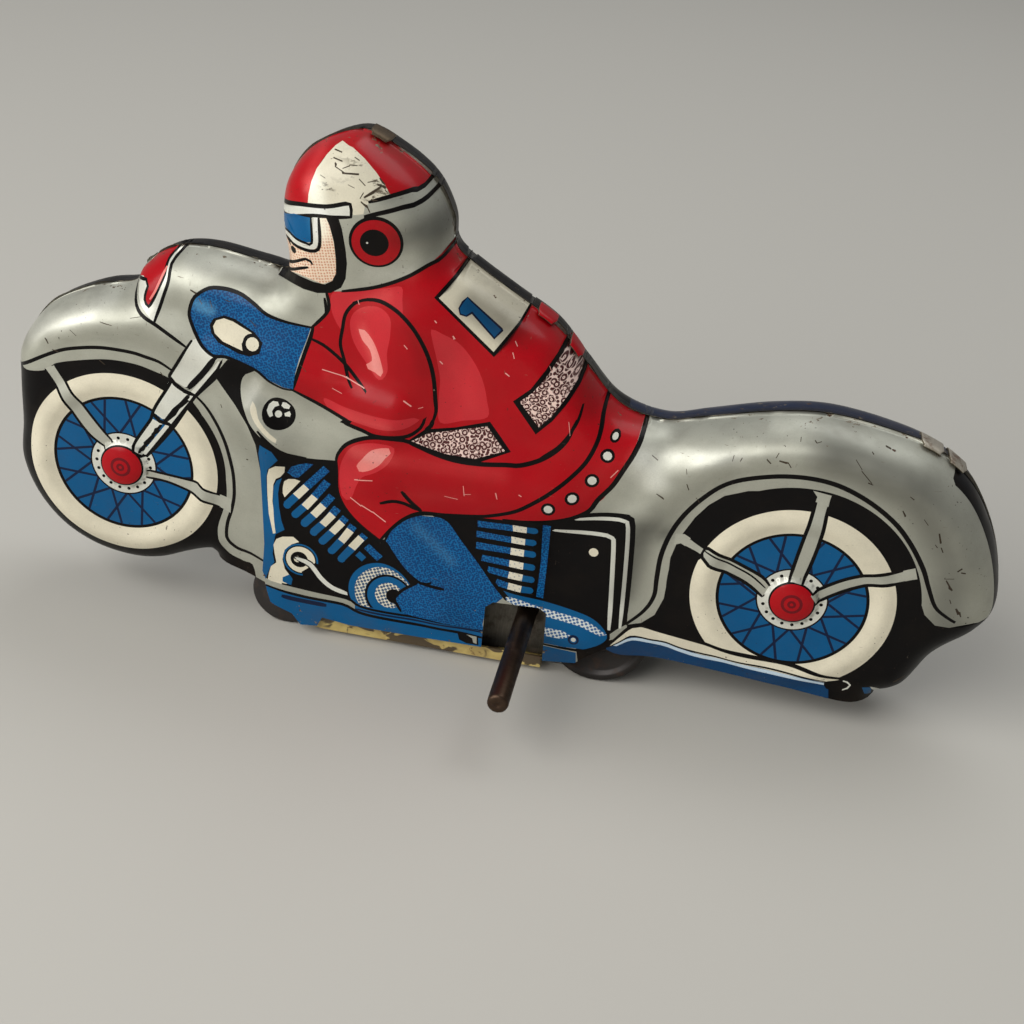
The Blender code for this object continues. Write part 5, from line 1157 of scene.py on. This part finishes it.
def build_shell(side, slot, rim_paint):
    """One shell: side -1 is the left one. Returns its object.

    The whole picture is first laid out flat as triangles that follow every painted border, then
    each triangle takes the topmost paint over it, and then the sheet is raised to its pressed form.
    rim_paint: bands along the seam, as first and last x, lowest z, depth and paint.
    """
    lower = [CLOSED_EDGE[-1]] + SKIRT_REAR + (SHAFT_SLOT if slot else []) + SKIRT_FRONT + [CLOSED_EDGE[0]]
    loop = np.vstack([EDGE, straight_through(lower, EDGE_STEP)[1:]])
    ring = np.vstack([loop, loop[:1]])
    shapes = [("silver", loop, 0)] + picture(side)
    points = [tuple(p) for p in loop]
    links = [(i, (i + 1) % len(loop)) for i in range(len(loop))]

    for _, pts, half in shapes[1:]:
        start = len(points)
        points.extend(tuple(p) for p in (stroke_outline(pts, half) if half else pts))
        last = len(points) - 1
        links.extend((i, i + 1) for i in range(start, last))
        links.append((last, start))
    before, here, after = EDGE[:-2], EDGE[1:-1], EDGE[2:]
    run = after - before
    run = run / np.maximum(np.hypot(run[:, 0], run[:, 1]), 1e-9)[:, None]
    inward = np.stack([run[:, 1], -run[:, 0]], 1)
    borders = {depth for _, _, _, depth, _ in rim_paint}
    for depth in SHOULDER_ROWS:
        band = here + inward * depth
        away, _ = line_distance(band, ring)
        kept = np.where(inside(band, loop) & (away > depth * 0.85))[0]
        start = len(points)
        points.extend(tuple(p) for p in band[kept])
        if depth in borders:
            links.extend((start + i, start + i + 1) for i, gap in enumerate(np.diff(kept)) if gap == 1)
    grid = [(i * GRID_STEP + (j % 2) * GRID_STEP / 2, j * GRID_STEP)
            for i in GRID_COLUMNS for j in GRID_ROWS]
    for hub in (FRONT_HUB, REAR_HUB):
        for radius in HUB_RINGS:
            grid += [tuple(p) for p in circle(hub, radius, 22)]
    grid = np.array(grid)
    away, _ = line_distance(grid, ring)
    points.extend(tuple(p) for p in grid[inside(grid, loop) & (away > GRID_MARGIN)])
    verts, _, faces, _, _, _ = delaunay_2d_cdt([Vector(p) for p in points], links, [], 0, 1e-5)
    flat = np.array([tuple(v) for v in verts])
    tris = np.array([f for f in faces if len(f) == 3])
    centres = flat[tris].mean(1)
    within = inside(centres, loop)
    tris, centres = tris[within], centres[within]

    paint_of = np.zeros(len(tris), int)
    names = []

    def number(paint):
        if paint not in names:
            names.append(paint)
        return names.index(paint)

    for paint, pts, half in shapes:
        if not half:
            hit = inside(centres, pts)
        else:
            low, high = pts.min(0) - half, pts.max(0) + half
            near = np.where(((centres >= low) & (centres <= high)).all(1))[0]
            away, where = line_distance(centres[near], pts)
            hit = np.zeros(len(centres), bool)
            hit[near[away < brush_width(half, where)]] = True
        paint_of[hit] = number(paint)
    away, _ = line_distance(centres, ROUNDED)
    for first, last, lowest, depth, paint in rim_paint:
        band = (away < depth) & (centres[:, 0] > first) & (centres[:, 0] < last) & (centres[:, 1] > lowest)
        paint_of[band] = number(paint)

    used = np.unique(tris)
    place = np.full(len(flat), -1)
    place[used] = np.arange(len(used))
    flat, tris = flat[used], place[tris]
    rise = height(flat, side)
    rise_x = height(flat + (SLOPE_STEP, 0), side) - height(flat - (SLOPE_STEP, 0), side)
    rise_z = height(flat + (0, SLOPE_STEP), side) - height(flat - (0, SLOPE_STEP), side)
    across = 2 * SLOPE_STEP
    normal = np.stack([-rise_x / across, np.full(len(flat), float(side)), -rise_z / across], 1)
    normal /= np.linalg.norm(normal, axis=1)[:, None]
    outer = np.stack([flat[:, 0], side * rise, flat[:, 1]], 1)
    inner = outer - normal * TIN
    inner[:, 1] = np.where(side * inner[:, 1] < GAP, side * GAP, inner[:, 1])

    a, b, c = outer[tris[:, 0]], outer[tris[:, 1]], outer[tris[:, 2]]
    flip = np.cross(b - a, c - a)[:, 1] * side < 0
    tris[flip] = tris[flip][:, ::-1]
    count = len(outer)
    pairs = {}  # every directed side of a triangle, in order; a rim side has no opposite
    for tri in tris:
        for i in range(3):
            pairs[(int(tri[i]), int(tri[(i + 1) % 3]))] = True
    rim = [(i, j) for i, j in pairs if (j, i) not in pairs]
    all_faces = [tuple(int(i) for i in t) for t in tris]
    all_faces += [tuple(int(i) + count for i in t[::-1]) for t in tris]
    all_faces += [(j, i, i + count, j + count) for i, j in rim]
    verts = np.vstack([outer, inner])
    mesh = bpy.data.meshes.new("litho_shell")
    mesh.from_pydata([(x * MM, (y + SEAM_Y) * MM, z * MM) for x, y, z in verts], [], all_faces)
    edge_slot, inside_slot = number("tin_edge"), number("tin_inside")
    index = np.concatenate([paint_of, np.full(len(tris), inside_slot), np.full(len(rim), edge_slot)])
    for paint in names:
        mesh.materials.append(PAINTS[paint])
    mesh.polygons.foreach_set("material_index", index.astype(np.int32))
    mesh.polygons.foreach_set("use_smooth", np.ones(len(all_faces), bool))
    # painted light and shade for each point of the printed face, none on the inside
    light_shade_tone = mesh.attributes.new("light_shade_tone", "FLOAT", "POINT")
    light_shade_tone.data.foreach_set("value", np.concatenate([light_and_shade_at(flat), np.zeros(count)]).astype(np.float32))
    away, _ = line_distance(flat, ring)
    rub = mesh.attributes.new("rub", "FLOAT", "POINT")
    near = np.exp(-away / RUB_REACH)
    rub.data.foreach_set("value", np.concatenate([near, near * 0]).astype(np.float32))
    mesh.update()
    corner = np.zeros(len(mesh.loops), np.int32)
    mesh.loops.foreach_get("vertex_index", corner)
    # smooth over both faces of the sheet, and flat along its cut edge
    corner_normals = np.vstack([normal, -normal])[corner]
    face_normals = np.zeros(len(mesh.polygons) * 3)
    mesh.polygons.foreach_get("normal", face_normals)
    rim_normals = face_normals.reshape(-1, 3)[2 * len(tris):]
    corner_normals[6 * len(tris):] = np.repeat(rim_normals, 4, 0)
    mesh.normals_split_custom_set([tuple(n) for n in corner_normals])
    name = "printed_shell_left" if side < 0 else "printed_shell_right"
    obj = bpy.data.objects.new(name, mesh)
    bpy.context.scene.collection.objects.link(obj)
    return obj


# across the seam, and how far the strip stands off it
TAB_PROFILE = [
    (1.55, 0.02), (1.4, 0.30), (0.9, 0.44), (0.3, 0.46), (-0.3, 0.47), (-0.9, 0.50),
    (-1.5, 0.46), (-1.95, 0.36), (-2.2, 0.15)]
TAB_COLUMNS = 9
TAB_CROWN = 0.06
TAB_TAPER_FROM = -1.2
TAB_TAPER = 0.28


def build_tab(at, paint, half, label):
    """A tab of the right shell folded over the seam, pressed down on the left shell."""
    away = np.hypot(*(EDGE - np.array(at)).T)
    nearest = int(np.clip(away.argmin(), 2, len(EDGE) - 3))
    run = EDGE[nearest + 2] - EDGE[nearest - 2]
    run /= np.linalg.norm(run)
    out = np.array([-run[1], run[0]])
    verts, faces = [], []
    for y, lift in TAB_PROFILE:
        taper = 1.0 - TAB_TAPER * float(smooth(TAB_TAPER_FROM - y))
        for i in range(TAB_COLUMNS):
            u = i / (TAB_COLUMNS - 1) * 2 - 1
            x, z = EDGE[nearest] + run * u * half * taper + out * (lift + TAB_CROWN * (1 - u * u))
            verts.append((x * MM, (SEAM_Y + y) * MM, z * MM))
    for r in range(len(TAB_PROFILE) - 1):
        for i in range(TAB_COLUMNS - 1):
            k = r * TAB_COLUMNS + i
            faces.append((k, k + 1, k + TAB_COLUMNS + 1, k + TAB_COLUMNS))
    mesh = bpy.data.meshes.new(label)
    mesh.from_pydata(verts, [], faces)
    mesh.materials.append(PAINTS[paint])
    mesh.materials.append(PAINTS["tin_edge"])
    for poly in mesh.polygons:
        poly.use_smooth = True
    obj = bpy.data.objects.new(label, mesh)
    bpy.context.scene.collection.objects.link(obj)
    thick = obj.modifiers.new("Solidify", "SOLIDIFY")
    thick.thickness = 0.3 * MM
    thick.offset = 0.0
    thick.material_offset_rim = 1
    soft = obj.modifiers.new("Bevel", "BEVEL")
    soft.width = 0.06 * MM
    soft.segments = 2
    soft.limit_method = "ANGLE"
    return obj


# ---------------------------------------------------------------- turned pieces

def turned(name, node, body, profile, axis_at, paint, steps=96):
    """A round piece about the Y axis, standing for one CAD node. profile: closed (radius, y) loop."""
    verts, faces = [], []
    for r, y in profile:
        for t in np.arange(steps) * 2 * math.pi / steps:
            x, z = axis_at[0] + r * math.cos(t), axis_at[1] + r * math.sin(t)
            verts.append((x * MM, (SEAM_Y + y) * MM, z * MM))
    rows = len(profile)
    for i in range(rows):
        j = (i + 1) % rows
        if profile[i][0] == 0 and profile[j][0] == 0:
            continue
        for k in range(steps):
            m = (k + 1) % steps
            faces.append((i * steps + k, i * steps + m, j * steps + m, j * steps + k))
    mesh = bpy.data.meshes.new(name)
    mesh.from_pydata(verts, [], faces)
    work = bmesh.new()
    work.from_mesh(mesh)
    bmesh.ops.remove_doubles(work, verts=work.verts, dist=1e-7)
    bmesh.ops.recalc_face_normals(work, faces=work.faces)
    work.to_mesh(mesh)
    work.free()
    mesh.shade_smooth()
    mesh.set_sharp_from_angle(angle=math.radians(40))
    mesh.materials.append(PAINTS[paint])
    obj = bpy.data.objects.new(name, mesh)
    bpy.context.scene.collection.objects.link(obj)
    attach(obj, body)
    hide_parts(node)

# ---------------------------------------------------------------- the object

left = build_shell(-1, True, [(61, 80, 19, 0.9, "black")])
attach(left, "toy_frame")
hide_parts("left_shell")
right = build_shell(1, False, [
    (-80, 17, 38, 1.5, "black"), (17, 61, 38, 1.5, "navy"), (61, 80, 19, 1.5, "black")])
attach(right, "toy_frame")
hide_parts("right_shell")
for number, (at, paint, half) in enumerate(TABS, 1):
    strap = build_tab(at, paint, half, "joining_tab_%d" % number)
    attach(strap, "toy_frame")


def centre_of(joint):
    """Where a joint's axis crosses the side view."""
    x, _, z = JOINTS[joint]["pos_m"]
    return x / MM, z / MM


def middle_of(node):
    """The same for a node that has no joint."""
    low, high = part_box(node)
    return (low.x + high.x) / 2 / MM, (low.z + high.z) / 2 / MM


def span_of(node):
    """A node's two ends across the toy, from the seam."""
    low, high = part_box(node)
    return low.y / MM - SEAM_Y, high.y / MM - SEAM_Y


def radius_of(node):
    low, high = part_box(node)
    return (high.z - low.z) / 2 / MM


def rounded_rod(radius, y0, y1, chamfer):
    """Profile of a rod with softened ends."""
    nick = chamfer * 0.3
    return [
        (0.0, y1), (radius - chamfer, y1), (radius - nick, y1 - nick), (radius, y1 - chamfer),
        (radius, y0 + chamfer), (radius - nick, y0 + nick), (radius - chamfer, y0), (0.0, y0)]


tip, back = span_of("winding_shaft")
turned("winding_shaft_fine", "winding_shaft", "winding", [
    (0.0, back), (1.0, back), (1.0, 3.7), (1.45, 3.7), (1.45, tip + 0.5), (1.4, tip + 0.28),
    (1.28, tip + 0.1), (1.02, tip), (0.42, tip), (0.34, tip + 0.06), (0.0, tip + 0.1)],
    centre_of("winding_turn"), "shaft")
drive = centre_of("drive_axle_turn")
low, high = span_of("drive_axle")
turned("drive_axle_fine", "drive_axle", "drive", rounded_rod(0.9, low, high, 0.15), drive, "steel", 48)
wheel_r = radius_of("rear_wheel_left")
for side, node in ((-1, "rear_wheel_left"), (1, "rear_wheel_right")):
    inner, outer = sorted(abs(y) for y in span_of(node))
    section = [  # boss, dished disc and tread on the outside, then the same on the inside
        (0.95, outer - 0.2), (2.15, outer - 0.2), (2.35, outer - 0.3), (2.6, outer - 0.6),
        (5.55, outer - 0.6), (5.8, outer - 0.45), (6.05, outer - 0.1), (6.25, outer),
        (wheel_r - 0.35, outer), (wheel_r - 0.1, outer - 0.1), (wheel_r, outer - 0.35),
        (wheel_r, inner + 0.35), (wheel_r - 0.1, inner + 0.1), (wheel_r - 0.35, inner),
        (6.1, inner), (5.6, inner + 0.5), (2.6, inner + 0.5), (2.2, inner), (0.95, inner)]
    turned(node + "_fine", node, "drive", [(r, side * y) for r, y in section], drive, "wheel_black")
roller_r = radius_of("front_roller")
low, high = span_of("front_roller")
half = (high - low) / 2
turned("front_roller_fine", "front_roller", "front_rolling", [
    (0.95, half), (roller_r - 0.5, half), (roller_r - 0.2, half - 0.08),
    (roller_r - 0.05, half - 0.22), (roller_r, half - 0.5), (roller_r, -half + 0.5),
    (roller_r - 0.05, -half + 0.22), (roller_r - 0.2, -half + 0.08), (roller_r - 0.5, -half),
    (0.95, -half)], centre_of("front_roller_turn"), "roller_black")
low, high = span_of("front_axle")
turned("front_axle_fine", "front_axle", "toy_frame", rounded_rod(0.8, low, high, 0.2),
       middle_of("front_axle"), "steel", 48)

# the clockwork shows its own CAD nodes: paint and width of the softened edges
NODE_PAINTS = {
    "base_plate": ("base", 0.07), "motor_plate_left": ("plate_steel", 0.05),
    "motor_plate_right": ("plate_steel", 0.05),
    "pillar_front": ("steel", 0.05), "pillar_top_front": ("steel", 0.05), "pillar_top_rear": ("steel", 0.05),
    "mainspring": ("spring", 0.0), "ratchet_wheel": ("steel", 0.04), "great_wheel": ("brass", 0.04),
    "click_rivet": ("steel", 0.05), "click": ("steel", 0.05), "second_arbor": ("steel", 0.05),
    "second_pinion": ("brass", 0.03), "second_wheel": ("brass", 0.04), "drive_pinion": ("brass", 0.03),
}
for node, (paint, width) in NODE_PAINTS.items():
    obj = frame["nodes"][node]
    obj.data.materials.clear()
    obj.data.materials.append(PAINTS[paint])
    if width:
        soft = obj.modifiers.new("Bevel", "BEVEL")
        soft.width = width * MM
        soft.segments = 2
        soft.limit_method = "ANGLE"
        soft.angle_limit = math.radians(50)
        soft.harden_normals = False

# ---------------------------------------------------------------- stage, camera and light

floor_mesh = bpy.data.meshes.new("floor")
floor_mesh.from_pydata([(-3, -3, 0), (3, -3, 0), (3, 3, 0), (-3, 3, 0)], [], [(0, 1, 2, 3)])
floor = bpy.data.objects.new("floor", floor_mesh)
floor.location.z = -0.0001
bpy.context.scene.collection.objects.link(floor)
ground = bpy.data.materials.new("floor_plain")
ground.use_nodes = True
ground.node_tree.nodes["Principled BSDF"].inputs["Base Color"].default_value = linear(188, 185, 177)
ground.node_tree.nodes["Principled BSDF"].inputs["Roughness"].default_value = 0.85
floor_mesh.materials.append(ground)

camera_data = bpy.data.cameras.new("camera")
camera_data.lens = 56.74
camera_data.sensor_width = 36.0
camera_data.clip_start = 0.01
camera_data.clip_end = 20.0
camera = bpy.data.objects.new("camera", camera_data)
camera.location = (0.02805, -0.19083, 0.13466)
camera.rotation_euler = Euler([math.radians(a) for a in (60.57, -5.245, 10.203)])
bpy.context.scene.collection.objects.link(camera)
bpy.context.scene.camera = camera


def area_light(name, at, aim, size, power, colour):
    data = bpy.data.lights.new(name, "AREA")
    data.shape = "RECTANGLE"
    data.size, data.size_y = size
    data.energy = power
    data.color = colour
    light = bpy.data.objects.new(name, data)
    light.location = at
    light.rotation_mode = "QUATERNION"
    light.rotation_quaternion = (Vector(aim) - Vector(at)).to_track_quat("-Z", "Y")
    bpy.context.scene.collection.objects.link(light)


area_light("soft_key", (-0.46, -0.46, 0.46), (0, 0, 0.03), (0.8, 0.7), 7.4, (1.0, 0.99, 0.97))
area_light("soft_top", (0.2, 0.4, 0.8), (0, 0, 0.03), (0.8, 0.4), 2.6, (0.96, 0.98, 1.0))
world = bpy.data.worlds.new("soft_world")
bpy.context.scene.world = world
world.use_nodes = True
world.node_tree.nodes["Background"].inputs["Color"].default_value = (0.76, 0.77, 0.79, 1.0)
world.node_tree.nodes["Background"].inputs["Strength"].default_value = 0.30
bpy.context.scene.view_settings.view_transform = "Standard"
